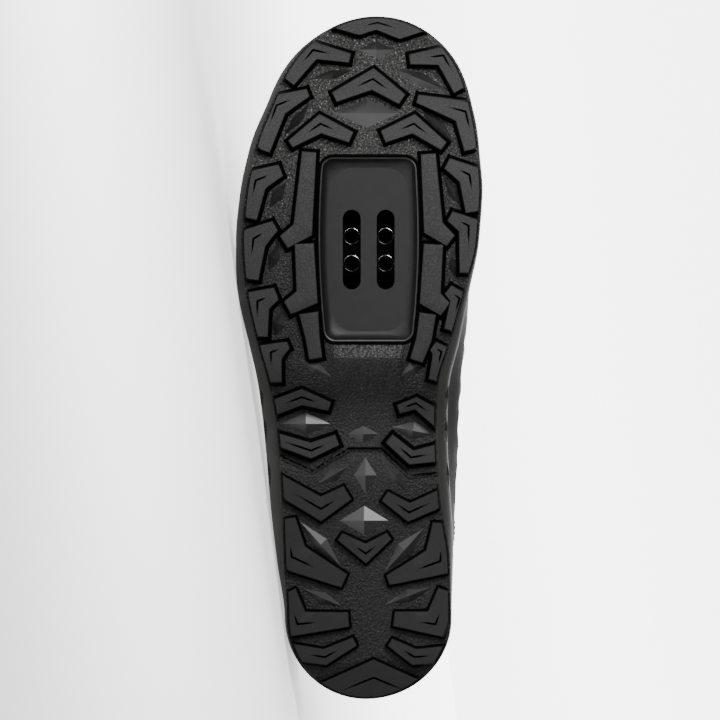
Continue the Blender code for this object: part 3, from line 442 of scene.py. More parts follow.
def centre(y):
    """Where the sole's centre line is, across."""
    return BALL_WIDTH * read(SOLE, "centre", np.asarray(y) / SOLE_LENGTH)


def tread_half(side, y):
    """How far the tread reaches from the centre line to a side."""
    return BALL_WIDTH * read(SOLE, side, np.asarray(y) / SOLE_LENGTH)


def flare(side, y):
    """How far the midsole's side stands out over the tread's."""
    return SIDE_FLARE * read(SOLE, side + "_flare", np.asarray(y) / SOLE_LENGTH)


def stations(start, end, count=STATIONS):
    """Places along the shoe, closer together at both ends."""
    return start + (end - start) * (1 - np.cos(np.linspace(0, math.pi, count))) / 2


def ring(height, inset=0.0, spread=0.0, start=0.0, end=SOLE_LENGTH):
    """A closed outline: heel point, lateral side, toe point, medial side."""
    y = stations(start + inset, end - inset)
    caps = rounded(y - y[0], HEEL_ROUND) * rounded(y[-1] - y, TOE_ROUND)
    sides = []
    for side, sign in SIDES:
        half = (tread_half(side, y) + spread * flare(side, y) - inset) * caps
        sides.append(np.column_stack([centre(y) + sign * half, y, height(y)]))
    return np.vstack([sides[0], sides[1][-2:0:-1]])


def ladder(count, first):
    """The faces that close a ring, each one level from side to side."""
    half = count // 2
    faces = [(0, 1, count - 1), (half - 1, half, half + 1)]
    faces += [(i, i + 1, count - i - 1, count - i) for i in range(1, half - 1)]
    return [tuple(first + i for i in face) for face in faces]


def quads(rows, columns, rows_close=False, columns_close=False):
    """The four-sided faces between the points of a grid, which may close on itself."""
    faces = []
    for i in range(rows if rows_close else rows - 1):
        for j in range(columns if columns_close else columns - 1):
            here, above = i * columns, (i + 1) % rows * columns
            k = (j + 1) % columns
            faces.append((here + j, here + k, above + k, above + j))
    return faces


def loft(rings):
    """Vertices and faces of a solid through rings of the same count."""
    count = len(rings[0])
    faces = ladder(count, 0) + ladder(count, count * (len(rings) - 1))
    return np.vstack(rings), faces + quads(len(rings), count, columns_close=True)


def prism(outline, bottom, top):
    """Vertices and faces of a solid between an outline and the same one above it."""
    count = len(outline)
    low = [(x, y, bottom) for x, y in outline]
    high = [(x, y, top) for x, y in outline]
    faces = [tuple(range(count)), tuple(range(count, 2 * count))]
    faces += [(i, (i + 1) % count, count + (i + 1) % count, count + i) for i in range(count)]
    return low + high, faces


def joined(solids):
    """Several solids as one list of vertices and faces."""
    points = []
    faces = []
    for solid_points, solid_faces, *_ in solids:
        first = len(points)
        points += [tuple(map(float, point)) for point in solid_points]
        faces += [tuple(first + i for i in face) for face in solid_faces]
    return points, faces


def block(grid, closed_by_rows=False):
    """A grid of points as a closed solid: its quads, and what closes it underneath."""
    rows, columns, _ = grid.shape
    faces = quads(rows, columns)
    if closed_by_rows:
        first = np.arange(rows - 1) * columns
        faces += [(a, a + columns, a + 2 * columns - 1, a + columns - 1) for a in first.tolist()]
        return grid.reshape(-1, 3), faces
    rim = list(range(columns))
    rim += [i * columns + columns - 1 for i in range(1, rows)]
    rim += [(rows - 1) * columns + j for j in range(columns - 2, -1, -1)]
    rim += [i * columns for i in range(rows - 2, 0, -1)]
    faces.append(tuple(rim))
    return grid.reshape(-1, 3), faces


# The shoe's own axes in the frame

def shoe_axes():
    """The turn and the place that lay the standing shoe down, from the record's flat spots."""
    spots = {mount["name"]: mount for mount in frame["record"]["mounts"]}
    up = -np.array(spots["heel_lug"]["axis"], float)
    up /= np.linalg.norm(up)
    heel = np.array(spots["heel_lug"]["pos_m"], float)
    along = np.array(spots["forefoot_lug"]["pos_m"], float) - heel
    along -= up * (along @ up)
    along /= np.linalg.norm(along)
    span = (BALL_SPOT - HEEL_SPOT) / np.linalg.norm(BALL_SPOT - HEEL_SPOT)
    beside = np.cross(up, along)
    lateral = span[0] * along - span[1] * beside
    toe = span[1] * along + span[0] * beside
    turn = np.column_stack([lateral, toe, up])
    return turn, heel - turn @ np.array([*HEEL_SPOT, 0.0])


TURN, PLACE = shoe_axes()


def laid_down(points):
    """Points of the standing shoe where it lies in the frame."""
    return np.asarray(points, float) @ TURN.T + PLACE


def stood_up(points):
    """Points of the frame back on the standing shoe."""
    return (np.asarray(points, float) - PLACE) @ TURN


def coordinates(mesh):
    """A mesh's points as one array."""
    flat = np.zeros(len(mesh.vertices) * 3, np.float32)
    mesh.vertices.foreach_get("co", flat)
    return flat.reshape(-1, 3).astype(float)


def keep_vectors(mesh, name, vectors):
    """Stores a vector for each point under a name that a material reads."""
    kept = mesh.attributes.new(name, "FLOAT_VECTOR", "POINT")
    kept.data.foreach_set("vector", vectors.astype(np.float32).ravel())


def keep_places(made, bent=False):
    """Stores each point's place on the standing shoe for the materials; a bent piece as if flat."""
    places = stood_up(coordinates(made.data))
    if bent:
        places[:, 2] -= ground(places[:, 1])
    keep_vectors(made.data, "shoe", places)


def mark(mesh, name, values):
    """Stores a number for each point under a name that a material reads."""
    kept = mesh.attributes.new(name, "FLOAT", "POINT")
    kept.data.foreach_set("value", np.asarray(values, np.float32).ravel())


def body(name, shape, finishes=(), picks=None, marks=None, merged=False):
    """A mesh object laid down with the shoe, from vertices and faces of the standing shoe."""
    points, faces = shape
    mesh = bpy.data.meshes.new(name)
    mesh.from_pydata(laid_down(points).tolist(), [], [tuple(face) for face in faces])
    for label, values in (marks or {}).items():
        mark(mesh, label, values)
    for finish in finishes:
        mesh.materials.append(finish)
    if picks is not None:
        mesh.polygons.foreach_set("material_index", np.asarray(picks, np.int32))
    shell = bmesh.new()
    shell.from_mesh(mesh)
    if merged:
        bmesh.ops.remove_doubles(shell, verts=shell.verts, dist=0.001 * MM)
    bmesh.ops.recalc_face_normals(shell, faces=shell.faces)
    shell.to_mesh(mesh)
    shell.free()
    made = bpy.data.objects.new(name, mesh)
    bpy.context.scene.collection.objects.link(made)
    return made


def cut(target, shape):
    """Cuts another shape out of the target."""
    tool = body("tool", shape)
    step = target.modifiers.new("cut", "BOOLEAN")
    step.operation = "DIFFERENCE"
    step.solver = "EXACT"
    step.object = tool
    bpy.context.view_layer.update()
    graph = bpy.context.evaluated_depsgraph_get()
    result = bpy.data.meshes.new_from_object(target.evaluated_get(graph))
    target.modifiers.clear()
    target.data = result
    bpy.data.objects.remove(tool)


def finished(made, replaced=(), bent=False, crisp=40):
    """Gives a piece its smooth shading with crisp edges, its body and its CAD nodes."""
    keep_places(made, bent)
    made.data.shade_smooth()
    made.data.set_sharp_from_angle(angle=math.radians(crisp))
    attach(made, "root")
    if replaced:
        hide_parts(*replaced)
    return made


# Materials

def linear(channel):
    """One channel of an sRGB colour as the light that it stands for."""
    return channel / 12.92 if channel <= 0.04045 else ((channel + 0.055) / 1.055) ** 2.4


def colour(code):
    """An sRGB hex colour as the linear one that the shader takes."""
    return (*(linear(int(code[i : i + 2], 16) / 255) for i in (1, 3, 5)), 1.0)


def plug(tree, node, inputs):
    """Sets a node's inputs, or links them where the value is another node's output."""
    for name, value in inputs.items():
        if isinstance(value, bpy.types.NodeSocket):
            tree.links.new(value, node.inputs[name])
        else:
            node.inputs[name].default_value = value


def add(tree, kind, inputs, **settings):
    """Adds a node with its settings and links, and returns its first output in use."""
    node = tree.nodes.new(kind)
    for name, value in settings.items():
        setattr(node, name, value)
    plug(tree, node, inputs)
    return next(output for output in node.outputs if output.enabled)


def across_mm(size):
    """A texture's scale for a pattern of this size in millimetres."""
    return 1 / (size * MM)


def surface(name, **inputs):
    """A new material, its node tree and its shader with these plain values."""
    made = bpy.data.materials.new(name)
    made.use_nodes = True
    tree = made.node_tree
    shader = tree.nodes["Principled BSDF"]
    plug(tree, shader, {key.replace("_", " "): value for key, value in inputs.items()})
    return made, tree, shader


def stored(tree, name, output="Fac"):
    """What the mesh keeps at each point under this name."""
    return add(tree, "ShaderNodeAttribute", {}, attribute_name=name).node.outputs[output]


def on_shoe(tree):
    """The standing shoe's place at each point, and how far across and along the shoe that is."""
    place = stored(tree, "shoe", "Vector")
    parts = add(tree, "ShaderNodeSeparateXYZ", {"Vector": place}).node
    return place, parts.outputs["X"], parts.outputs["Y"]


def noise(tree, place, size, detail=2.0):
    """Soft clouds or fine grain, for its size in millimetres."""
    return add(tree, "ShaderNodeTexNoise", {"Vector": place, "Scale": across_mm(size), "Detail": detail})


def wave(tree, place, size, way):
    """Even ridges along an axis of the place. They come again after 0.314 of this size."""
    return add(tree, "ShaderNodeTexWave", {"Vector": place, "Scale": across_mm(size)}, bands_direction=way)


def worked(tree, operation, first, second=0.0):
    """A sum or a product of two values, or the size of one."""
    return add(tree, "ShaderNodeMath", {0: first, 1: second}, operation=operation)


def between(tree, value, low, high):
    """A mask from 0 at the low value to 1 at the high one."""
    span = {"Value": value, "From Min": low, "From Max": high}
    return add(tree, "ShaderNodeMapRange", span, interpolation_type="SMOOTHSTEP")


def graded(tree, value, first, last, start=0.0, end=1.0):
    """A number from a first to a last one, as a value goes from its start to its end."""
    span = {"Value": value, "From Min": start, "From Max": end, "To Min": first, "To Max": last}
    return add(tree, "ShaderNodeMapRange", span)


def blended(tree, share, first, second):
    """From the first colour to the second, by a share."""
    return add(tree, "ShaderNodeMix", {0: share, 6: first, 7: second}, data_type="RGBA")


def bumped(tree, height, depth, strength=1.0, under=None):
    """The way a surface faces where a height is pressed into it, on top of another bump."""
    inputs = {"Height": height, "Distance": depth, "Strength": strength}
    if under is not None:
        inputs["Normal"] = under
    return add(tree, "ShaderNodeBump", inputs)


def plain(name, code, **inputs):
    """A finish with one colour and no grain."""
    made, _, _ = surface(name, Base_Color=colour(code), **inputs)
    return made


def clouded(name, shades, clouds, grain=None, **inputs):
    """A finish in clouds of two shades, with a grain of a size, detail, depth and strength."""
    made, tree, shader = surface(name, **inputs)
    place = stored(tree, "shoe", "Vector")
    shown = {"Base Color": blended(tree, noise(tree, place, *clouds), *map(colour, shades))}
    if grain:
        size, detail, depth, strength = grain
        shown["Normal"] = bumped(tree, noise(tree, place, size, detail), depth * MM, strength)
    plug(tree, shader, shown)
    return made


def lug_rubber():
    """Moulded carbon rubber: fine spark-eroded grain on the tops, painted shade near black on the steep walls
    and in the grooves.
    """
    made, tree, shader = surface("moulded_lug_rubber", Roughness=0.68)
    place, _, along = on_shoe(tree)
    wall = stored(tree, "wall")
    grain = noise(tree, place, 0.6, 3.0)
    tops = blended(tree, noise(tree, place, 9), colour("#161616"), colour("#1e1e1e"))
    tops = blended(tree, between(tree, grain, 0.4, 0.75), tops, colour("#2b2b2b"))
    # Painted shade: the heel's lugs are a little darker than the forefoot's.
    tops = blended(tree, between(tree, along, 0.08, 0.22), colour("#131313"), tops)
    # Painted shade: where the wall mark is high, on the walls and down the grooves, the colour goes near
    # black and the gloss nearly out.
    plug(tree, shader, {
        "Base Color": blended(tree, between(tree, wall, 0.1, 0.9), tops, colour("#020202")),
        "Specular IOR Level": graded(tree, wall, 0.16, 0.02),
        "Normal": bumped(tree, grain, 0.06 * MM, 0.8),
    })
    return made


def pebbled_rubber():
    """Moulded carbon rubber between the lugs: a coarse pebble, with specks of painted highlight."""
    made, tree, shader = surface("pebbled_base_rubber", Roughness=0.5, Specular_IOR_Level=0.16)
    place, across, along = on_shoe(tree)
    cells = add(tree, "ShaderNodeTexVoronoi", {"Vector": place, "Scale": across_mm(0.9)})
    rough = noise(tree, place, 0.6, 4.0)
    # Painted highlights: specks where the grain is high are coloured paler, for glints of light on the
    # pebble.
    specks = between(tree, rough, 0.58, 0.70)
    # Painted light: the base is paler towards the forefoot, which faces the light, than at the heel.
    front = between(tree, along, 0.135, 0.25)
    dark = blended(tree, front, colour("#0b0b0b"), colour("#222221"))
    bright = blended(tree, front, colour("#2e2e2c"), colour("#6c6c68"))
    # The slope from the pocket's rear edge down to the waist is painted paler, as painted light.
    sideways = worked(tree, "ABSOLUTE", worked(tree, "SUBTRACT", across, SHELF_MIDDLE))
    slope = worked(
        tree, "MULTIPLY",
        between(tree, along, SHELF_LINE - 0.5 * MM, SHELF_LINE + 0.5 * MM),
        between(tree, sideways, SHELF_HALF + 0.5 * MM, SHELF_HALF - 0.5 * MM),
    )
    slope = worked(tree, "MULTIPLY", slope, between(tree, along, SHELF_LINE + 10 * MM, SHELF_LINE + 9 * MM))
    dark = blended(tree, slope, dark, colour("#2c2c2a"))
    bright = blended(tree, slope, bright, colour("#4e4e4c"))
    pebbles = blended(tree, specks, dark, bright)
    # Painted shade: the hollows between the pebbles are coloured near black.
    plug(tree, shader, {
        "Base Color": blended(tree, between(tree, cells, 0.35, 0.7), pebbles, colour("#030303")),
        "Normal": bumped(tree, rough, 0.25 * MM, 1.0, bumped(tree, cells, -0.3 * MM, 1.0)),
    })
    return made


@cache
def facet_rubber():
    """Moulded carbon rubber from polished facets of the mould: smooth, with a satin gloss."""
    return clouded("polished_facet_rubber", ("#0b0b0b", "#151514"), (0.7,), (0.7, 2.0, 0.03, 0.6),
                   Roughness=0.44, Specular_IOR_Level=0.5)


@cache
def groove_shade_rubber():
    """Near-black rubber for dark lines of painted shade where the mould's narrow shut-off grooves are: almost
    no light comes back from it.
    """
    return plain("painted_groove_shade", "#020202", Roughness=0.8, Specular_IOR_Level=0.02)


def sidewall_rubber():
    """Injected sidewall compound: satin, a little paler than the tread, with mould grain."""
    return clouded("injected_sidewall", ("#20201f", "#2e2e2d"), (25,), (0.8, 3.0, 0.05, 0.6),
                   Roughness=0.62, Specular_IOR_Level=0.1)


@cache
def nylon():
    """Glass-filled nylon moulding: smooth, with a faint bloom from the fibres under its skin."""
    return clouded("glass_filled_nylon_moulding", ("#0c0c0c", "#131313"), (6, 4.0), (0.6, 2.0, 0.02, 0.5),
                   Roughness=0.5, Specular_IOR_Level=0.18)


def black_steel():
    """Black-oxide steel plate under the slots, made matt and near black as painted shade: so dark that only
    its nuts' rims show.
    """
    return clouded("black_oxide_steel_painted_shade", ("#010101", "#030303"), (0.4, 3.0),
                   Roughness=0.7, Specular_IOR_Level=0.01)


def turned_steel():
    """Turned steel rims with a bright plating: thin rings of light round each thread."""
    return clouded("turned_bright_steel", ("#5c5c5d", "#dcdcde"), (1.5, 3.0), Metallic=1.0, Roughness=0.13)


def upper_film():
    """Woven upper with pressed polyurethane overlays, open mesh windows and ribbed heel quarters."""
    made, tree, shader = surface("pressed_film_textile", Specular_IOR_Level=0.04)
    place = stored(tree, "shoe", "Vector")
    run = stored(tree, "run", "Vector")
    is_mesh = between(tree, stored(tree, "window"), -0.2 * MM, 0.3 * MM)
    is_ribbed = between(tree, stored(tree, "ribbed"), -0.3 * MM, 0.3 * MM)
    is_film = between(tree, stored(tree, "overlay"), 0.2, 0.8)
    # Ribs 1 mm wide come every 2 mm, mesh holes 1.5 mm wide every 3 mm, and the weave every 1.4 mm.
    ribs = wave(tree, run, 6.4, "Y")
    holes = worked(tree, "MULTIPLY", wave(tree, run, 9.5, "X"), wave(tree, run, 9.5, "Y"))
    weave = worked(tree, "MULTIPLY", wave(tree, run, 4.5, "X"), wave(tree, run, 4.5, "Y"))
    leather = noise(tree, place, 0.9, 3.0)
    woven = blended(tree, weave, colour("#0d0d0d"), colour("#1c1c1c"))
    film = blended(tree, leather, colour("#151515"), colour("#202020"))
    # Painted shade: the troughs between the ribs and the mesh's holes are coloured near black.
    cloth = blended(tree, ribs, colour("#050505"), colour("#262625"))
    mesh = blended(tree, holes, colour("#020202"), colour("#161616"))
    shown = blended(tree, is_ribbed, blended(tree, is_film, woven, film), cloth)
    normal = blended(tree, is_film, bumped(tree, weave, 0.15 * MM), bumped(tree, leather, 0.04 * MM, 0.6))
    normal = blended(tree, is_ribbed, normal, bumped(tree, ribs, 0.35 * MM))
    plug(tree, shader, {
        "Base Color": blended(tree, is_mesh, shown, mesh),
        "Roughness": graded(tree, is_film, 0.85, 0.6),
        "Normal": blended(tree, is_mesh, normal, bumped(tree, holes, 0.4 * MM)),
    })
    return made


@cache
def sewing_thread():
    """Bonded polyester thread: round, with a dull shine, a little paler than what it holds."""
    return plain("bonded_polyester_thread", "#2b2b2b", Roughness=0.6, Specular_IOR_Level=0.2)


def knit_cloth(name, dark, light, spacing, sheen):
    """Warp-knitted polyester: small loops in rows, matt, with a soft sheen at grazing angles."""
    made, tree, shader = surface(name, Roughness=0.9, Sheen_Weight=sheen, Sheen_Roughness=0.4)
    place = stored(tree, "shoe", "Vector")
    rows, loops = (wave(tree, place, spacing * 6.3, way) for way in "XY")
    knit = worked(tree, "MULTIPLY", rows, loops)
    fuzz = noise(tree, place, 1.5, 4.0)
    plug(tree, shader, {
        "Base Color": blended(tree, blended(tree, 0.5, knit, fuzz), colour(dark), colour(light)),
        "Normal": bumped(tree, knit, 0.25 * MM, 0.8, bumped(tree, fuzz, 0.2 * MM, 0.5)),
    })
    return made


def dark_foam():
    """The insole's black foam underside, made matt and near black as painted shade behind the slots of the
    cleat plate.
    """
    return plain("black_foam_painted_shade", "#030303", Roughness=0.95, Specular_IOR_Level=0.02)


def strap_film():
    """Film-faced strap: a satin face with a fine pressed grain."""
    return clouded("film_faced_strap", ("#0d0d0d", "#161616"), (0.9, 3.0), (0.9, 3.0, 0.05, 0.7),
                   Roughness=0.55, Specular_IOR_Level=0.08)


def studio_white():
    """White paper that glows with painted light, as if lit from behind where it curves up, so that it stays
    pale round the shoe.
    """
    made, tree, shader = surface("studio_paper", Roughness=0.9, Emission_Color=colour("#ffffff"))
    place = add(tree, "ShaderNodeTexCoord", {}).node.outputs["Object"]
    back = add(tree, "ShaderNodeSeparateXYZ", {"Vector": place}).node.outputs["Y"]
    fibre = add(tree, "ShaderNodeTexNoise", {"Scale": across_mm(40)})
    # Painted light: the paper glows, from 0.7 at the front to 4.0 from 0.8 m back.
    plug(tree, shader, {
        "Emission Strength": graded(tree, back, 0.7, 4.0, 0.0, 0.8),
        "Base Color": blended(tree, fibre, colour("#f4f4f4"), colour("#f8f8f8")),
    })
    return made


# Tread

def plan(points):
    """Places on the tread from hundredths of the ball width and of the sole's length."""
    return np.array(points, float)[..., :2] * (BALL_WIDTH, SOLE_LENGTH) / 100


def within(points, inset):
    """Whether points in plan are inside the tread's outline, drawn in by an inset."""
    x = points[..., 0]
    y = points[..., 1]
    kept = np.clip(y, inset, SOLE_LENGTH - inset)
    caps = rounded(kept - inset, HEEL_ROUND) * rounded(SOLE_LENGTH - inset - kept, TOE_ROUND)
    lateral = centre(kept) + (tread_half("lateral", kept) - inset) * caps
    medial = centre(kept) - (tread_half("medial", kept) - inset) * caps
    return (x <= lateral) & (x >= medial) & (kept == y)


def trimmed(points, inset):
    """Points in plan outside the tread's outline, moved in to it."""
    y = np.clip(points[..., 1], *(share * SOLE_LENGTH for share in ANCHOR_SHARES))
    anchor = np.stack([centre(y), y], axis=-1)
    low = np.zeros(points.shape[:-1])
    high = np.ones(points.shape[:-1])
    outside = ~within(points, inset)
    for _ in range(TRIM_HALVINGS):
        middle = (low + high) / 2
        inside = within(anchor + middle[..., None] * (points - anchor), inset)
        low = np.where(inside, middle, low)
        high = np.where(inside, high, middle)
    moved = anchor + low[..., None] * (points - anchor)
    return np.where(outside[..., None], moved, points)


def legs(row):
    """The spine of a chevron, its half widths, and its edges on both sides."""
    spine = plan(row[:3])
    widths = [point[2] * LUG_WIDTH / 200 for point in row[:3]]
    first = (spine[1] - spine[0]) / np.linalg.norm(spine[1] - spine[0])
    last = (spine[2] - spine[1]) / np.linalg.norm(spine[2] - spine[1])
    across_first = np.array([-first[1], first[0]])
    across_last = np.array([-last[1], last[0]])
    middle = across_first + across_last
    elbow = middle / (middle @ across_first)
    return spine, widths, (first, last), (across_first, elbow, across_last)


def lug_edge(height):
    """The steps of a lug's edge: how far out, how deep, and how dark."""
    return [(out * LUG_DRAFT, deep * height, dark) for out, deep, dark in LUG_EDGE]


def on_the_tread(grid, height):
    """Keeps a lug's points within the tread's outline, the top's a little farther in."""
    top = grid[..., 2] <= LUG_HEIGHT - 0.96 * height
    near = trimmed(grid[..., :2], TREAD_EDGE)
    nearer = trimmed(grid[..., :2], TREAD_EDGE + TOP_INSET)
    grid[..., :2] = np.where(top[..., None], nearer, near)
    return grid


def chevron_block(row, height, sipe=None):
    """A drafted chevron with soft edges, and a pointed groove along its top."""
    spine, widths, ends, across = legs(row)
    edge = lug_edge(height)
    rows = [(spine[0] - ends[0] * out, widths[0], across[0], deep, dark, None) for out, deep, dark in edge]
    for share in np.linspace(0, 2, 2 * LEG_STEPS + 1)[1:-1]:
        leg = int(share >= 1)
        t = share - leg
        rows.append((
            spine[leg] + (spine[leg + 1] - spine[leg]) * t,
            widths[leg] + (widths[leg + 1] - widths[leg]) * t,
            across[leg] + (across[leg + 1] - across[leg]) * t,
            0.0, 0.0, share,
        ))
    rows += [(spine[2] + ends[1] * out, widths[2], across[2], deep, dark, None)
             for out, deep, dark in reversed(edge)]
    grid = []
    walls = []
    for place, half, way, deep, dark, share in rows:
        taper = 0.0
        if sipe and share is not None:
            start, end = sipe[0], 1 + sipe[1]
            reach = SIPE_TAPER * min(1 - start, end - 1)
            taper = float(min(smooth(share, start, start + reach), 1 - smooth(share, end - reach, end)))
        groove = max(SIPE_WIDTH / 2 * taper, SIPE_LEAST)
        shoulder = deep + SIPE_SHOULDER * SIPE_DEPTH * taper
        # The third value of each column is its painted shade: near black down the wall and in the groove.
        columns = [(half + out, max(deep, under), max(dark, wall)) for out, under, wall in edge]
        columns += [(groove, deep, dark), (0.7 * groove, shoulder, max(dark, taper))]
        columns.append((0.0, deep + SIPE_DEPTH * taper, max(dark, taper)))
        sides = [(1, column) for column in columns] + [(-1, column) for column in columns[-2::-1]]
        grid.append([(*(place + sign * way * out), LUG_HEIGHT - height + under)
                     for sign, (out, under, _) in sides])
        walls.append([wall for _, (_, _, wall) in sides])
    return *block(on_the_tread(np.array(grid), height)), walls


def bumper_block():
    """The toe bumper: from its zigzag rear edge to the tread's rounded front."""
    rear = plan(BUMPER_EDGE)[::-1]
    edge = lug_edge(LUG_HEIGHT)
    columns = [(rear[0][0] - out, deep, dark) for out, deep, dark in edge]
    columns += [(x, 0.0, 0.0) for x in np.linspace(rear[0][0], rear[-1][0], BUMPER_COLUMNS)[1:-1]]
    columns += [(rear[-1][0] + out, deep, dark) for out, deep, dark in reversed(edge)]
    groove = plan(BUMPER_GROOVE)[::-1]
    grid = []
    walls = []
    for x, side_deep, side_dark in columns:
        y = float(np.interp(x, rear[:, 0], rear[:, 1]))
        middle = float(np.interp(x, groove[:, 0], groove[:, 1]))
        end = min(x - groove[0, 0], groove[-1, 0] - x)
        taper = float(smooth(end, 0, BUMPER_TAPER * (groove[-1, 0] - groove[0, 0])))
        half = max(SIPE_WIDTH / 2 * taper, SIPE_LEAST)
        # The third value of each point is its painted shade: near black down the wall and in the groove.
        line = [(y - out, deep, dark) for out, deep, dark in edge]
        line += [(y + (middle - half - y) * t, 0.0, 0.0) for t in (0.3, 0.7, 1)]
        line += [(middle, SIPE_DEPTH * taper, taper), (middle + half, 0.0, 0.0)]
        line += [(middle + (SOLE_LENGTH - middle) * t, 0.0, 0.0) for t in (0.3, 0.6, 0.9)]
        line += [(SOLE_LENGTH, deep, dark) for _, deep, dark in reversed(edge)]
        grid.append([(x, at, max(deep, side_deep)) for at, deep, _ in line])
        walls.append([max(dark, side_dark) for _, _, dark in line])
    return *block(on_the_tread(np.array(grid), LUG_HEIGHT)), walls


def facet_block(row):
    """A low four-sided pad with a sharp peak over its middle."""
    across, along, length, width, turn = row
    middle = plan((across, along))
    lengthways = np.array([math.cos(math.radians(turn)), math.sin(math.radians(turn))])
    sideways = np.array([-lengthways[1], lengthways[0]])
    long_arm = lengthways * length * LUG_WIDTH / 200
    short_arm = sideways * width * LUG_WIDTH / 200
    corners = np.array([middle + long_arm, middle + short_arm, middle - long_arm, middle - short_arm])
    corners = trimmed(corners, FACET_EDGE)
    heel_pad = HEEL_STEP if along * SOLE_LENGTH / 100 < heel_line(middle[0]) else 0.0
    base = LUG_HEIGHT - heel_pad + FACET_SINK
    points = [(x, y, base) for x, y in corners]
    points.append((*middle, base - FACET_HEIGHT))
    return points, [(0, 1, 2, 3), (0, 1, 4), (1, 2, 4), (2, 3, 4), (3, 0, 4)]


def heel_line(x):
    """Where the heel pad's front edge is, along the sole."""
    edge = plan(HEEL_EDGE)[::-1]
    return np.interp(x, edge[:, 0], edge[:, 1])


def bend(points):
    """Bends points that were made flat to the tread's bevel, arch and toe spring."""
    points = np.array(points, float)
    points[:, 2] += ground(points[:, 1])
    return points


def pocket(margin, corner=POCKET_CORNER, bowed=True):
    """The pocket's outline in plan, with round corners and bowed sides, grown by a margin."""
    corner += max(margin, 0)
    rear = POCKET_REAR / 2 + margin - corner
    front = POCKET_FRONT / 2 + margin - corner
    end = POCKET_LENGTH / 2 + margin - corner
    steps = ROUND_SIDES // 4
    points = []
    for quarter, (x, y) in enumerate(((front, end), (-front, end), (-rear, -end), (rear, -end))):
        for step in range(steps + 1):
            turn = math.pi / 2 * (quarter + step / steps)
            points.append((x + corner * math.cos(turn), y + corner * math.sin(turn)))
    points = np.array(points)
    if bowed:
        # The two straight sides get points of their own to bow.
        split = []
        for a, b in zip(points, np.roll(points, -1, 0)):
            steps = SIDE_STEPS if abs(b[1] - a[1]) > POCKET_LENGTH / 2 else 1
            split += [a + (b - a) * step / steps for step in range(steps)]
        points = np.array(split)
        bow = np.polyval(POCKET_BOW[::-1], points[:, 1] / (POCKET_LENGTH / 2))
        points[:, 0] += np.sign(points[:, 0]) * bow
    return (points + POCKET_CENTRE).tolist()


def tube(path, radius, sides=8, closed=True):
    """A tube along a path in plan, at the tread's base."""
    path = np.array(path)
    ahead = np.roll(path, -1, 0) - np.roll(path, 1, 0) if closed else np.gradient(path, axis=0)
    ahead /= np.linalg.norm(ahead, axis=1)[:, None]
    aside = np.column_stack([ahead[:, 1], -ahead[:, 0]])
    points = []
    for turn in np.arange(sides) * 2 * math.pi / sides:
        ring_points = path + aside * radius * math.cos(turn)
        points.append(np.column_stack([ring_points, np.full(len(path), radius * math.sin(turn))]))
    count = len(path)
    faces = []
    if not closed:
        faces = [tuple(i * count + end for i in range(sides)) for end in (0, count - 1)]
    return np.vstack(points), faces + quads(sides, count, True, closed)


def tread_sheet():
    """The base sheet between the lugs, with the raised heel pad and the shelf behind the pocket."""
    y = stations(0, SOLE_LENGTH, TREAD_STATIONS)
    caps = rounded(y, HEEL_ROUND) * rounded(SOLE_LENGTH - y, TOE_ROUND)
    shares = np.sin(np.linspace(-1, 1, TREAD_COLUMNS) * math.pi / 2)
    start, highest, end = SHELF_ALONG
    base = LUG_HEIGHT + OUTSOLE_BASE - GAP
    rows = []
    for here, cap in zip(y, caps):
        halves = np.where(shares > 0, tread_half("lateral", here), tread_half("medial", here)) * cap
        x = centre(here) + shares * halves
        pad = HEEL_STEP * smooth(heel_line(x) - here, *PAD_RISE)
        along = here / SOLE_LENGTH
        wedge = smooth(along, start, highest) * (1 - smooth(along, highest, end))
        beside = smooth(np.abs(x - SHELF_MIDDLE), SHELF_HALF - MM, SHELF_HALF + MM)
        top = LUG_HEIGHT - (pad + SHELF_RISE * wedge * (1 - beside))
        line = [(x[0], here, base)] + [(a, here, z) for a, z in zip(x, top)] + [(x[-1], here, base)]
        rows.append(line)
    return block(np.array(rows), closed_by_rows=True)


def bead(name, path, radius, level, finish, closed=True):
    """A thin round bead, or a dark line of painted shade, along a path, sunk to its middle at a level of the
    tread.
    """
    points, faces = tube(path, radius, closed=closed)
    points[:, 2] += level
    finished(body(name, (bend(points), faces), [finish]), bent=True)


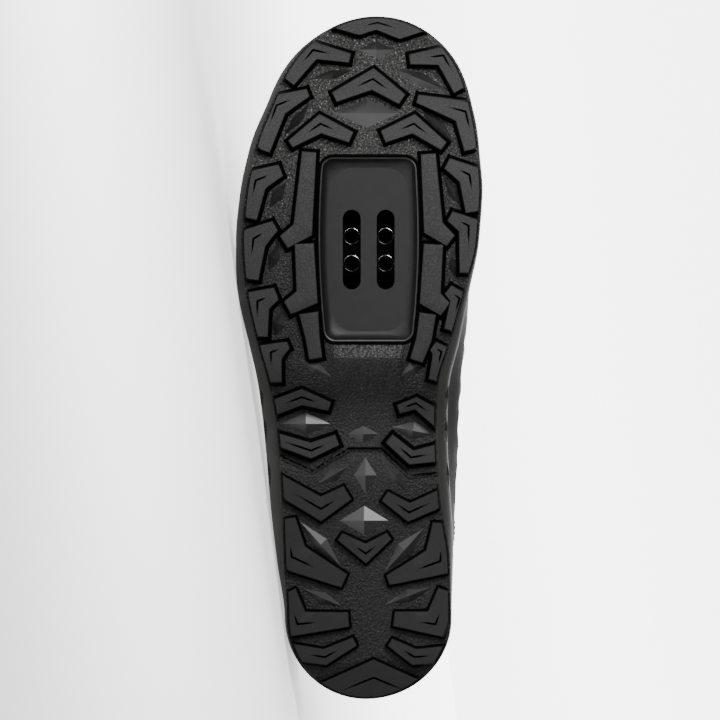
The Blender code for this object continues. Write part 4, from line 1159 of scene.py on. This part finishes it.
def make_tread():
    pebbled = pebbled_rubber()
    points, faces = tread_sheet()
    base = body("tread_base", (bend(points), faces), [pebbled], merged=True)
    cut(base, prism(pocket(WINDOW_MARGIN), -LUG_HEIGHT, 4 * LUG_HEIGHT))
    finished(base, ["outsole"], bent=True)

    blocks = [chevron_block(row, LUG_HEIGHT, row[3:]) for row in LUGS.values()]
    blocks += [chevron_block(row, RAIL_HEIGHT) for row in RAILS.values()]
    blocks.append(bumper_block())
    points, faces = joined(blocks)
    # Each lug point's painted shade, near black on walls and in grooves, goes to the rubber as its wall mark.
    walls = np.concatenate([np.ravel(walls) for _, _, walls in blocks])
    lugs = body("tread_lugs", (bend(points), faces), [lug_rubber()], marks={"wall": walls})
    finished(lugs, bent=True, crisp=28)

    points, faces = joined([facet_block(row) for row in FACETS.values()])
    pads = body("tread_facets", (bend(points), faces), [facet_rubber()])
    finished(pads, bent=True, crisp=3)

    bead("pocket_lip", pocket(LIP_OUT), LIP_RADIUS, LUG_HEIGHT, facet_rubber())
    # A dark line of painted shade round the pocket, in the mould's shut-off groove.
    bead("pocket_shut_off_shade", pocket(SHUT_OFF_OUT), SHUT_OFF_RADIUS, LUG_HEIGHT, groove_shade_rubber())
    edge = plan(HEEL_EDGE)
    parts = [np.linspace(a, b, HEEL_EDGE_STEPS)[:-1] for a, b in zip(edge, edge[1:])]
    fine = np.concatenate([*parts, edge[-1:]])
    groove = trimmed(fine + (0, HEEL_GROOVE_AHEAD), 1.5 * TREAD_EDGE)
    top = trimmed(fine + (0, HEEL_BEAD_AHEAD), 1.5 * TREAD_EDGE)
    # A dark line of painted shade in the groove along the heel pad's step.
    bead("heel_pad_groove_shade", groove, 0.8 * SHUT_OFF_RADIUS, LUG_HEIGHT, groove_shade_rubber(), closed=False)
    bead("heel_pad_bead", top, LIP_RADIUS, LUG_HEIGHT - HEEL_STEP, pebbled, closed=False)


# Midsole

def dent(side, sign, along):
    """A rhomb-shaped block that dents the midsole's side."""
    y = along * SOLE_LENGTH
    level = float(midsole_level(y, DENT_LEVEL))
    face = float(centre(y) + sign * (tread_half(side, y) + flare(side, y)))
    rhomb = ((DENT_LENGTH / 2, 0), (0, DENT_HEIGHT / 2), (-DENT_LENGTH / 2, 0), (0, -DENT_HEIGHT / 2))
    depths = (face - sign * DENT_DEPTH, face + sign * SIDE_FLARE)
    points = [(x, y + along_step, level + up) for x in depths for along_step, up in rhomb]
    faces = [(0, 1, 2, 3), (4, 5, 6, 7)]
    faces += [(i, (i + 1) % 4, 4 + (i + 1) % 4, 4 + i) for i in range(4)]
    return points, faces


def make_midsole():
    rings = []
    for height, spread in MIDSOLE_SIDE:
        rings.append(ring(lambda y: midsole_level(y, height), 0.0, spread))
    midsole = body("midsole_body", loft(rings), [sidewall_rubber()])
    seat = PLATE_LEDGE - POCKET_SLOPE + GAP
    cut(midsole, prism(pocket(HOLE_MARGIN), 0, PLATE_LEVEL))
    cut(midsole, prism(pocket(seat, bowed=False), PLATE_LEVEL - GAP, PLATE_LEVEL + PLATE_THICK + GAP))
    cut(midsole, prism(pocket(-NUT_ROOM, bowed=False), PLATE_LEVEL + PLATE_THICK, 2 * MIDSOLE_HEEL))
    cut(midsole, joined([dent(side, sign, along) for side, sign in SIDES for along in DENTS_ALONG]))
    finished(midsole, ["midsole"], crisp=32)


# Upper

def heel_back(z):
    """How far forward the back of the heel is at a height."""
    return HEEL_CURVE * read(HEEL_BACK, "set", z / COLLAR_HEIGHT)


def last_half(side, y, z):
    """The last's half width at the featherline, rounded in at the heel's back and at the toe."""
    half = tread_half(side, y) + FEATHER_FLARE * flare(side, y) - FEATHER_INSET
    caps = rounded(y - heel_back(z), HEEL_ROUND) * rounded(SOLE_LENGTH - TOE_SET - y, TOE_ROUND)
    return half * caps, caps


def ridge(y):
    """The last's height over the featherline along its middle."""
    rise = INSTEP_RISE * read(LAST, "ridge", y / SOLE_LENGTH)
    return rise * rounded(SOLE_LENGTH - TOE_SET - y, TOE_ROUND)


def last_point(side, sign, y, rise):
    """A point on the last's side at a share of its ridge height."""
    power = float(read(LAST, "fullness", y / SOLE_LENGTH))
    z = float(footbed(y) + GAP + rise * ridge(y))
    half, caps = last_half(side, y, z)
    width = half * max(1 - rise**power, 0) ** (1 / power)
    swell = SWELL * read(LAST, side + "_swell", y / SOLE_LENGTH)
    bulge = swell * math.sin(math.pi * min(rise / SWELL_TOP, 1)) ** 2 * caps
    return np.array([float(centre(y) + sign * (width + bulge)), y, z])


def rise_at(side, y, across):
    """The share of the ridge height where the last is a given distance from its middle."""
    power = float(read(LAST, "fullness", y / SOLE_LENGTH))
    half, _ = last_half(side, y, float(footbed(y)) + ridge(y) / 2)
    share = min(abs(across) / max(float(half), 1e-6), 1)
    return (1 - share**power) ** (1 / power)


def throat_gap(y):
    """Half the width of the throat, rounded to nothing at its front."""
    along = (y - COLLAR_CORNER) / (THROAT_FRONT - COLLAR_CORNER)
    gap = THROAT_REAR_GAP + (THROAT_FRONT_GAP - THROAT_REAR_GAP) * along
    return gap * float(rounded(THROAT_FRONT - y, THROAT_FRONT_GAP))


# The upper's wall in rows, from 0 at the featherline to 1 at its edge, with the rand's step in it.
RAND_TOP = 0.325
RAND_END = 0.338
UPPER_ROWS = np.concatenate([
    np.linspace(0, RAND_TOP, 10), np.linspace(RAND_END, 0.93, 30), np.linspace(0.945, 1.0, 7),
])
COLUMNS_EVEN = 0.25

# The pressed layers' edges. Toe cap and counter: the edge low down as a share of the sole's length,
# and how much farther back it is at the top. Their fades are such shares too. COUNTER_RISE is in
# metres above the ground and CORNER_FADE in metres from the heel. The others are rows of the wall.
TOE_CAP_EDGE = (0.862, 0.10)
TOE_CAP_FADE = 0.004
COUNTER_EDGE = (0.30, 0.12)
COUNTER_RISE = (0.03, 0.075)
COUNTER_TOP = (0.72, 0.735)
COUNTER_FADE = 0.005
EYESTAY_EDGE = (0.872, 0.885)
BAND_EDGE = (0.905, 0.92)
# Where the collar's band goes over into the throat's edging.
CORNER_FADE = (0.106, 0.110)
# The ribbed quarter: how far ahead of the counter it starts and ends, and its top row.
RIBBED = (0.010, 0.068)
RIBBED_TOP = 0.74
# About how many metres a whole wall is high, to set its rows against lengths.
ROW_HEIGHT = 0.1
# The rows where the creases come in and fade out.
BEND_FROM = (0.30, 0.45)
BEND_TO = (0.80, 0.95)
WINDOW_DEPTH = 0.0005
SWELL_FADE = (0.45, 0.7)
COLLAR_SWELL = 0.0012

# The seams of cap and counter: how far inside the layers' edges, as a share of the sole's length,
# and the rows where they end. The other two follow rows, and the collar's ends at metres from the heel.
SEAM_INSET = 0.011
CAP_SEAM_TOP = 0.865
COUNTER_SEAM_TOP = 0.71
EYESTAY_SEAM = 0.895
COLLAR_SEAM = 0.868
COLLAR_SEAM_END = 0.104

# A stitch: share of its length, how fat it is there and how far it stands out of the cloth.
STITCH = ((0, 0.2, -0.5), (0.15, 0.85, 0.1), (0.5, 1, 0.35), (0.85, 0.85, 0.1), (1, 0.2, -0.5))
STITCH_PITCH = 3.2 * MM
STITCH_LENGTH = 2.3 * MM
STITCH_THICK = 0.28 * MM


def front_column(side, sign, turn):
    """A column of the upper from the featherline to the throat's edge."""
    share = (1 - COLUMNS_EVEN) * math.sin(turn * math.pi / 2) + COLUMNS_EVEN * turn
    toe = SOLE_LENGTH - TOE_SET
    low_y = COLLAR_CORNER + (toe - COLLAR_CORNER) * share
    high_y = COLLAR_CORNER + (THROAT_FRONT - COLLAR_CORNER) * share
    low_x = float(last_half(side, low_y, float(footbed(low_y)))[0])
    high_x = throat_gap(high_y)
    column = []
    for row in UPPER_ROWS:
        inwards = 1 - math.cos(row * math.pi / 2)
        y = low_y + (high_y - low_y) * inwards
        across = low_x + (high_x - low_x) * inwards
        rise = 0.0 if row == 0 else rise_at(side, y, across)
        column.append(last_point(side, sign, y, rise))
    return column


def heel_column(side, sign, share, corner):
    """A column of the upper from the featherline to the collar's edge."""
    heights = (corner[:, 2] - corner[0, 2]) / (corner[-1, 2] - corner[0, 2])
    y = COLLAR_CORNER * share
    low = float(footbed(y)) + GAP
    collar = np.append(COLLAR["along"], 1.0)
    edge = np.append(COLLAR["height"] * COLLAR_HEIGHT, corner[-1, 2])
    high = float(read({"along": collar, "edge": edge}, "edge", share))
    column = []
    for height in heights:
        z = low + (high - low) * height
        back = float(heel_back(z))
        y = back + (COLLAR_CORNER - back) * share
        rise = max((z - float(footbed(y)) - GAP) / float(ridge(y)), 0)
        column.append(last_point(side, sign, y, rise))
    return column


def normals(grid, closed):
    """The outward direction at each point of a grid of rows and columns."""
    along = np.gradient(grid, axis=0)
    if closed:
        around = np.roll(grid, -1, 1) - np.roll(grid, 1, 1)
    else:
        around = np.gradient(grid, axis=1)
    turned = np.cross(around, along)
    return turned / np.maximum(np.linalg.norm(turned, axis=2)[..., None], 1e-12)


def sheet(grid, outer, inner, closed):
    """A wall between two offsets of a grid, closed along its rims."""
    rows, columns, _ = grid.shape
    out = normals(grid, closed)
    walls = [grid + out * np.asarray(far)[..., None] for far in (outer, inner)]
    points = np.vstack([wall.reshape(-1, 3) for wall in walls])
    under = rows * columns
    faces = []
    for quad in quads(rows, columns, columns_close=closed):
        faces.append(quad)
        faces.append(tuple(under + n for n in reversed(quad)))
    rims = [[(i, j) for j in range(columns)] for i in (0, rows - 1)]
    if not closed:
        rims += [[(i, j) for i in range(rows)] for j in (0, columns - 1)]
    for rim in rims:
        steps = len(rim) if closed else len(rim) - 1
        for n in range(steps):
            a = rim[n][0] * columns + rim[n][1]
            b_at = rim[(n + 1) % len(rim)]
            b = b_at[0] * columns + b_at[1]
            faces.append((a, b, under + b, under + a))
    return points, faces


def upper_grid():
    """The upper's outer face: rows up the wall, columns from the heel round the toe and back."""
    sides = []
    for side, sign in SIDES:
        corner = np.array(front_column(side, sign, 0.0))
        shares = [1 - math.cos(math.pi / 2 * i / HEEL_COLUMNS) for i in range(HEEL_COLUMNS)]
        columns = [heel_column(side, sign, share, corner) for share in shares]
        turns = [i / FRONT_COLUMNS for i in range(FRONT_COLUMNS + 1)]
        columns += [front_column(side, sign, turn) for turn in turns]
        sides.append(columns)
    lateral, medial = sides
    return np.array(lateral + medial[-2:0:-1]).transpose(1, 0, 2)


# Leaf-shaped mesh windows: side, along and height on the wall, length and width, and lean.
WINDOWS = (
    ("medial", 0.545, 0.046, 0.030, 0.0065, 55),
    ("medial", 0.455, 0.050, 0.036, 0.0075, 60),
    ("medial", 0.375, 0.052, 0.030, 0.0065, 65),
    ("lateral", 0.560, 0.044, 0.028, 0.0060, 55),
    ("lateral", 0.470, 0.047, 0.034, 0.0070, 60),
)


def leaf(side, places):
    """How deep points are inside a leaf-shaped window, in metres, and less than 0 outside."""
    found = np.full(places.shape[:-1], -1.0)
    for on_side, along, level, length, width, lean in WINDOWS:
        if on_side != side:
            continue
        turn = math.radians(lean)
        dy = places[..., 1] - along * SOLE_LENGTH
        dz = places[..., 2] - level
        lengthways = (dy * math.cos(turn) + dz * math.sin(turn)) / (length / 2)
        sideways = np.abs(-dy * math.sin(turn) + dz * math.cos(turn))
        found = np.maximum(found, width / 2 * (1 - lengthways**2) - sideways)
    return found


def toe_cap_line(wall):
    """The toe cap's rear edge as a share of the sole's length, at a row of the wall."""
    return TOE_CAP_EDGE[0] - TOE_CAP_EDGE[1] * wall


def counter_line(z):
    """The heel counter's front edge as a share of the sole's length, at a height."""
    return COUNTER_EDGE[0] - COUNTER_EDGE[1] * smooth(z, *COUNTER_RISE)


def hill(distance, width):
    """A soft hill that is 1 high at its middle."""
    return np.exp(-((distance / width) ** 2))


def crossings(cloth, out, value):
    """Where a value on the grid passes from below 0 to above it, row by row, on either side."""
    paths = ([], [])
    rows, columns = value.shape
    half = columns // 2
    for i in range(rows):
        for path, js in zip(paths, (range(half), range(columns - 1, half, -1))):
            step = 1 if js[0] == 0 else -1
            for j in js:
                k = (j + step) % columns
                if value[i, j] <= 0 < value[i, k]:
                    t = -value[i, j] / (value[i, k] - value[i, j])
                    path.append((cloth[i, j] * (1 - t) + cloth[i, k] * t, out[i, j]))
                    break
    return [path for path in paths if len(path) > 2]


def stitch(start, end, out):
    """One round stitch that dips into the cloth at both ends."""
    ahead = (end - start) / np.linalg.norm(end - start)
    aside = np.cross(out, ahead)
    turns = np.arange(STITCH_SIDES) * 2 * math.pi / STITCH_SIDES
    points = []
    for share, fat, lift in STITCH:
        middle = start + (end - start) * share + out * STITCH_THICK * lift
        points += [middle + STITCH_THICK * fat * (aside * math.cos(t) + out * math.sin(t)) for t in turns]
    last = len(points) - STITCH_SIDES
    ends = [tuple(range(STITCH_SIDES)), tuple(range(last, len(points)))]
    return points, quads(len(STITCH), STITCH_SIDES, columns_close=True) + ends


def stitched(name, paths):
    """Rows of small round stitches along paths of points with the directions out of the cloth."""
    stitches = []
    for path in paths:
        places, outs = (np.array(column) for column in zip(*path))
        far = np.concatenate([[0], np.cumsum(np.linalg.norm(np.diff(places, axis=0), axis=1))])
        for at in np.arange(0.3 * STITCH_PITCH, far[-1] - STITCH_LENGTH, STITCH_PITCH):
            start, end, out = (
                np.array([np.interp(where, far, values[:, k]) for k in range(3)])
                for where, values in ((at, places), (at + STITCH_LENGTH, places), (at, outs))
            )
            stitches.append(stitch(start, end, out))
    finished(body(name, joined(stitches), [sewing_thread()]), crisp=80)


def sew_upper(grid, outer):
    """Stitches along the toe cap, the heel counter, the throat's edging and the collar."""
    y = grid[..., 1]
    share = y / SOLE_LENGTH
    out = normals(grid, True)
    cloth = grid + out * outer[..., None]
    wall = UPPER_ROWS[:, None] + 0 * y
    cap = share - toe_cap_line(wall) - SEAM_INSET
    counter = share - counter_line(grid[..., 2]) + SEAM_INSET
    paths = []
    for value, top in ((cap, CAP_SEAM_TOP), (counter, COUNTER_SEAM_TOP)):
        paths += crossings(cloth, out, np.where((wall > RAND_END) & (wall < top), value, -1))
    for level, inside in ((EYESTAY_SEAM, y[-1] > COLLAR_CORNER), (COLLAR_SEAM, y[-1] < COLLAR_SEAM_END)):
        row = int(np.argmin(np.abs(UPPER_ROWS - level)))
        # The columns start at the heel, which is the middle of the collar's seam.
        first = int(np.argmin(inside)) if inside[0] else 0
        kept = np.roll(np.arange(len(inside)), -first)
        paths.append([(cloth[row, j], out[row, j]) for j in kept if inside[j]])
    stitched("upper_stitches", paths)


def upper_layers(grid):
    """How far the upper's two faces stand out of the grid, and the masks that its material reads."""
    y = grid[..., 1]
    z = grid[..., 2]
    wall = UPPER_ROWS[:, None]
    above_rand = wall > RAND_TOP
    share = y / SOLE_LENGTH
    cap = smooth(share - toe_cap_line(wall), 0, TOE_CAP_FADE) * above_rand
    low_enough = 1 - smooth(wall, *COUNTER_TOP)
    counter = smooth(counter_line(z) - share, 0, COUNTER_FADE) * low_enough * above_rand
    eyestay = smooth(wall, *EYESTAY_EDGE) * smooth(y, *CORNER_FADE)
    band = smooth(wall, *BAND_EDGE) * (1 - smooth(y, *CORNER_FADE))
    layers = np.maximum.reduce([cap, counter, eyestay, band])
    outer = np.where(above_rand, 0.0, RAND_RAISE) + OVERLAY_RAISE * layers
    bend_zone = smooth(wall, *BEND_FROM) * (1 - smooth(wall, *BEND_TO))
    for along, slant, depth in CREASES:
        beyond = y - (along * SOLE_LENGTH + slant * (z - CREASE_LEVEL))
        outer -= depth * bend_zone * hill(beyond, CREASE_WIDTH)
        outer += 0.5 * depth * bend_zone * hill(beyond - 1.7 * CREASE_WIDTH, CREASE_WIDTH)
    window = np.where(grid[..., 0] > centre(y), leaf("lateral", grid), leaf("medial", grid))
    outer -= WINDOW_DEPTH * smooth(window, -0.3 * MM, 0.6 * MM)
    near_edge = np.clip((UPPER_ROWS - PAD_FROM) / (1 - PAD_FROM), 0, 1)
    collar = np.clip((PAD_FRONT - y[-1] / COLLAR_CORNER) / PAD_FADE, 0, 1)
    padded = np.clip(np.sin(near_edge * math.pi * PAD_ROUND)[:, None] * collar, 0, 1)
    outer += COLLAR_SWELL * padded * smooth(near_edge, *SWELL_FADE)[:, None]
    # The ribbed quarter lies between the counter and the windows, above the rand.
    ahead = share - counter_line(z)
    ribbed = np.minimum(ahead - RIBBED[0], RIBBED[1] - ahead) * SOLE_LENGTH
    ribbed = np.minimum(ribbed, np.minimum(wall - RAND_END, RIBBED_TOP - wall) * ROW_HEIGHT)
    overlay = np.maximum(layers, np.where(above_rand, 0.0, 1.0))
    masks = {"window": window, "ribbed": ribbed, "overlay": overlay}
    return outer, -(WALL + COLLAR_PAD * padded), masks


def keep_run(made, grid):
    """Stores how far along the shoe and up its wall each point is, so that the weave isn't stretched."""
    steps = np.linalg.norm(np.diff(grid, axis=0), axis=2)
    up_the_wall = np.vstack([np.zeros((1, steps.shape[1])), np.cumsum(steps, axis=0)])
    along = stood_up(coordinates(made.data))[:, 1]
    keep_vectors(made.data, "run", np.column_stack([along, np.tile(up_the_wall.ravel(), 2), 0 * along]))


def make_upper():
    grid = upper_grid()
    rows, columns, _ = grid.shape
    outer, inner, masks = upper_layers(grid)
    points, faces = sheet(grid, outer, inner, True)
    low = footbed(points[:, 1]) + GAP
    bottom = np.zeros(len(points), bool)
    bottom[:columns] = True
    bottom[rows * columns : rows * columns + columns] = True
    points[:, 2] = np.where(bottom, low, np.maximum(points[:, 2], low))
    picks = [0 if max(face) < rows * columns else 1 for face in faces]
    marks = {name: np.tile(values.ravel(), 2) for name, values in masks.items()}
    lining = knit_cloth("collar_lining_knit", "#0a0a0b", "#161617", 1.2, 0.08)
    made = body("upper_shell", (points, faces), [upper_film(), lining], picks, marks)
    keep_run(made, grid)
    finished(made, ["upper"], crisp=45)
    sew_upper(grid, outer)


def over_instep(y, across):
    """A point on the last over the instep, at a distance from its middle."""
    side, sign = SIDES[0] if across >= 0 else SIDES[1]
    return last_point(side, sign, y, rise_at(side, y, across))


def make_tongue():
    rows = []
    for step in np.linspace(0, 1, TONGUE_COUNT):
        y = TONGUE_TOP + (TONGUE_FRONT - TONGUE_TOP) * step
        top = rounded(step + TONGUE_TOP_START, TONGUE_TOP_ROUND)
        tip = rounded(TONGUE_TIP_END - step, TONGUE_TIP_ROUND)
        half = TONGUE_WIDTH / 2 * float(top * tip)
        rows.append([over_instep(y, half * share) for share in np.linspace(1, -1, TONGUE_COUNT)])
    grid = np.array(rows)[::-1]
    along = np.linspace(-1, 1, TONGUE_COUNT)[:, None]
    edge = np.clip(1 - np.maximum(np.abs(along.T), np.abs(along)) ** 6, 0, 1)
    quilted = TONGUE_QUILT * np.cos(along * math.pi * 7) * edge
    outer = -(WALL + TONGUE_GAP) - TONGUE_ROUND + TONGUE_ROUND * edge + quilted
    points, faces = sheet(grid, outer, outer - TONGUE_THICK * (TONGUE_EDGE[0] + TONGUE_EDGE[1] * edge), False)
    cloth = knit_cloth("tongue_spacer_knit", "#0a0a0b", "#151516", 1.3, 0.06)
    made = finished(body("tongue_pad", (points, faces), [cloth]), ["tongue"], crisp=60)


def strap_grid(along):
    """A band over the instep from one side of the shoe to the other, with rounded tab ends."""
    middle = along * SOLE_LENGTH
    rows = []
    for share in np.linspace(1, -1, STRAP_ROWS):
        row = []
        for side, sign in SIDES:
            quarter = np.linspace(0, math.pi / 2, STRAP_TURNS)
            turns = STRAP_REACH + (1 - STRAP_REACH) * (1 - np.cos(quarter))
            for t in turns if sign > 0 else turns[-2::-1]:
                tab = STRAP_TIP + (1 - STRAP_TIP) * float(rounded(t - STRAP_REACH, STRAP_TAB))
                y = middle + share * tab * STRAP_WIDTH / 2
                power = float(read(LAST, "fullness", y / SOLE_LENGTH))
                row.append(last_point(side, sign, y, math.sin(t * math.pi / 2) ** (2 / power)))
        rows.append(row)
    return np.array(rows)


def make_straps():
    film = strap_film()
    for name, along in STRAPS_ALONG.items():
        grid = strap_grid(along)
        rows, columns, _ = grid.shape
        across = np.abs(np.linspace(-1, 1, rows))[:, None] * np.ones((1, columns))
        line = hill(across - STRAP_LINE[0], STRAP_LINE[1])
        outer = SHEET_GAP + STRAP_THICK - STRAP_ROUND * across**8 - STRAP_WELT * line
        strap = body(name + "_band", sheet(grid, outer, SHEET_GAP, False), [film])
        finished(strap, [name], crisp=50)
        out = normals(grid, False)
        cloth = grid + out * outer[..., None]
        seam = int(STRAP_SEAM * rows)
        paths = [[(cloth[i, j], out[i, j]) for j in range(3, columns - 3)] for i in (seam, rows - 1 - seam)]
        stitched(name + "_stitches", paths)


def make_insole():
    inset = FEATHER_INSET + WALL + INSOLE_FIT
    start = float(heel_back(0.0))
    end = SOLE_LENGTH - TOE_SET
    rings = []
    for lift, draw in INSOLE_EDGE:
        level = lambda y: footbed(y) + 2 * GAP + lift * INSOLE_THICK
        rings.append(ring(level, inset + draw, FEATHER_FLARE, start, end))
    cloth = knit_cloth("insole_top_cloth", "#121313", "#212223", 1.4, 0.1)
    made = body("insole_bed", loft(rings), [cloth, dark_foam()])
    finished(made, ["insole"], crisp=50)
    for polygon in made.data.polygons:
        place = stood_up([made.data.vertices[index].co for index in polygon.vertices])
        polygon.material_index = int((place[:, 2] < footbed(place[:, 1]) + 3 * GAP).all())


def spun(x, y, profile, level):
    """A solid of revolution at a place in plan, from radii and heights out of a level."""
    turns = np.arange(ROUND_SIDES) * 2 * math.pi / ROUND_SIDES
    points = []
    for radius, height in profile:
        points += [(x + radius * math.cos(t), y + radius * math.sin(t), level - height) for t in turns]
    return points, quads(len(profile), ROUND_SIDES, True, True)


def make_pocket():
    """The nylon skin of the pocket's sloping wall, and the turned rims of the nuts in its slots."""
    rings = []
    for down, inwards, corner in POCKET_DISH:
        outline = pocket(-inwards, corner)
        level = LUG_HEIGHT + (PLATE_LEVEL - LUG_HEIGHT) * down
        rings.append(np.array([(x, y, level) for x, y in outline]))
    rings += [ring_points + (0, 0, DISH_THICK) for ring_points in rings[::-1]]
    faces = quads(len(rings), len(rings[0]), True, True)
    finished(body("pocket_dish", (np.vstack(rings), faces), [nylon()]), crisp=50)
    x, y = POCKET_CENTRE
    places = [(x + i * SLOT_SPACING / 2, y + j * NUT_PITCH / 2) for i in (-1, 1) for j in (-1, 1)]
    nuts = joined([spun(*place, NUT_RIM, NUT_HEIGHT) for place in places])
    rims = body("nut_rims", nuts, [turned_steel()])
    finished(rims, crisp=80)


def dress_plates():
    """The cleat plate and the nut plate keep their solids and get their finishes; the nut plate's matt near
    black is painted shade in the slots.
    """
    for name, finish in (("cleat_plate", nylon()), ("nut_plate", black_steel())):
        node = frame["nodes"][name]
        keep_places(node)
        node.data.materials.clear()
        node.data.materials.append(finish)


# Studio

CAMERA_DISTANCE = 4.0
FRAME_WIDTH = 0.2965
SENSOR = 0.036
VIEW_CENTRE = (0.0025, 0.1399, 0.0)

# Softboxes: the way to each from the standing shoe, its distance, side and power.
LIGHTS = {
    "toe_key": ((-0.36, 0.64, -0.95), 1.1, 0.45, 24),
    "front_fill": ((0.1, 0.3, -1.0), 1.5, 1.2, 2),
    "back_fill": ((-0.3, -0.2, 1.0), 1.5, 1.0, 6),
}

# The paper sweep: how far it reaches, where it starts to curve up, and the curve's radius.
SWEEP_REACH = 9.0
SWEEP_START = 4.8
SWEEP_CURVE = 1.5
SWEEP_STEPS = 24
SKY_STRENGTH = 0.2


def make_stage():
    profile = [(-SWEEP_REACH, 0.0), (SWEEP_START, 0.0)]
    for step in range(1, SWEEP_STEPS + 1):
        turn = math.pi / 2 * step / SWEEP_STEPS
        profile.append((SWEEP_START + SWEEP_CURVE * math.sin(turn), SWEEP_CURVE * (1 - math.cos(turn))))
    profile.append((SWEEP_START + SWEEP_CURVE, SWEEP_REACH))
    points = [(x, y, z) for y, z in profile for x in (-SWEEP_REACH, SWEEP_REACH)]
    faces = [(2 * i, 2 * i + 1, 2 * i + 3, 2 * i + 2) for i in range(len(profile) - 1)]
    mesh = bpy.data.meshes.new("paper_sweep")
    mesh.from_pydata(points, [], faces)
    mesh.materials.append(studio_white())
    mesh.shade_smooth()
    sweep = bpy.data.objects.new("paper_sweep", mesh)
    bpy.context.scene.collection.objects.link(sweep)


def soft_light(name, direction, distance, size, power):
    """A square softbox that faces the shoe from a direction of the standing shoe."""
    aim = laid_down([VIEW_CENTRE])[0]
    way = TURN @ np.array(direction, float)
    way /= np.linalg.norm(way)
    lamp = bpy.data.lights.new(name, "AREA")
    lamp.shape = "SQUARE"
    lamp.size = size
    lamp.energy = power
    made = bpy.data.objects.new(name, lamp)
    made.location = Vector(aim + way * distance)
    made.rotation_euler = Vector(way).to_track_quat("Z", "Y").to_euler()
    bpy.context.scene.collection.objects.link(made)


def make_camera():
    camera = bpy.data.cameras.new("camera")
    camera.sensor_width = SENSOR * 1000
    camera.lens = SENSOR * 1000 * CAMERA_DISTANCE / FRAME_WIDTH
    made = bpy.data.objects.new("camera", camera)
    right, up, back = -TURN[:, 0], TURN[:, 1], -TURN[:, 2]
    place = laid_down([VIEW_CENTRE])[0] + back * CAMERA_DISTANCE
    turned = np.column_stack([right, up, back])
    made.matrix_world = Matrix.Translation(place.tolist()) @ Matrix(turned.tolist()).to_4x4()
    bpy.context.scene.collection.objects.link(made)
    bpy.context.scene.camera = made


def make_world():
    world = bpy.data.worlds.new("studio")
    world.use_nodes = True
    sky = world.node_tree.nodes["Background"]
    sky.inputs["Color"].default_value = colour("#ffffff")
    sky.inputs["Strength"].default_value = SKY_STRENGTH
    bpy.context.scene.world = world


make_camera()
make_tread()
make_midsole()
make_pocket()
make_insole()
make_upper()
make_tongue()
make_straps()
dress_plates()
make_stage()
make_world()
for name, (direction, distance, size, power) in LIGHTS.items():
    soft_light(name, direction, distance, size, power)
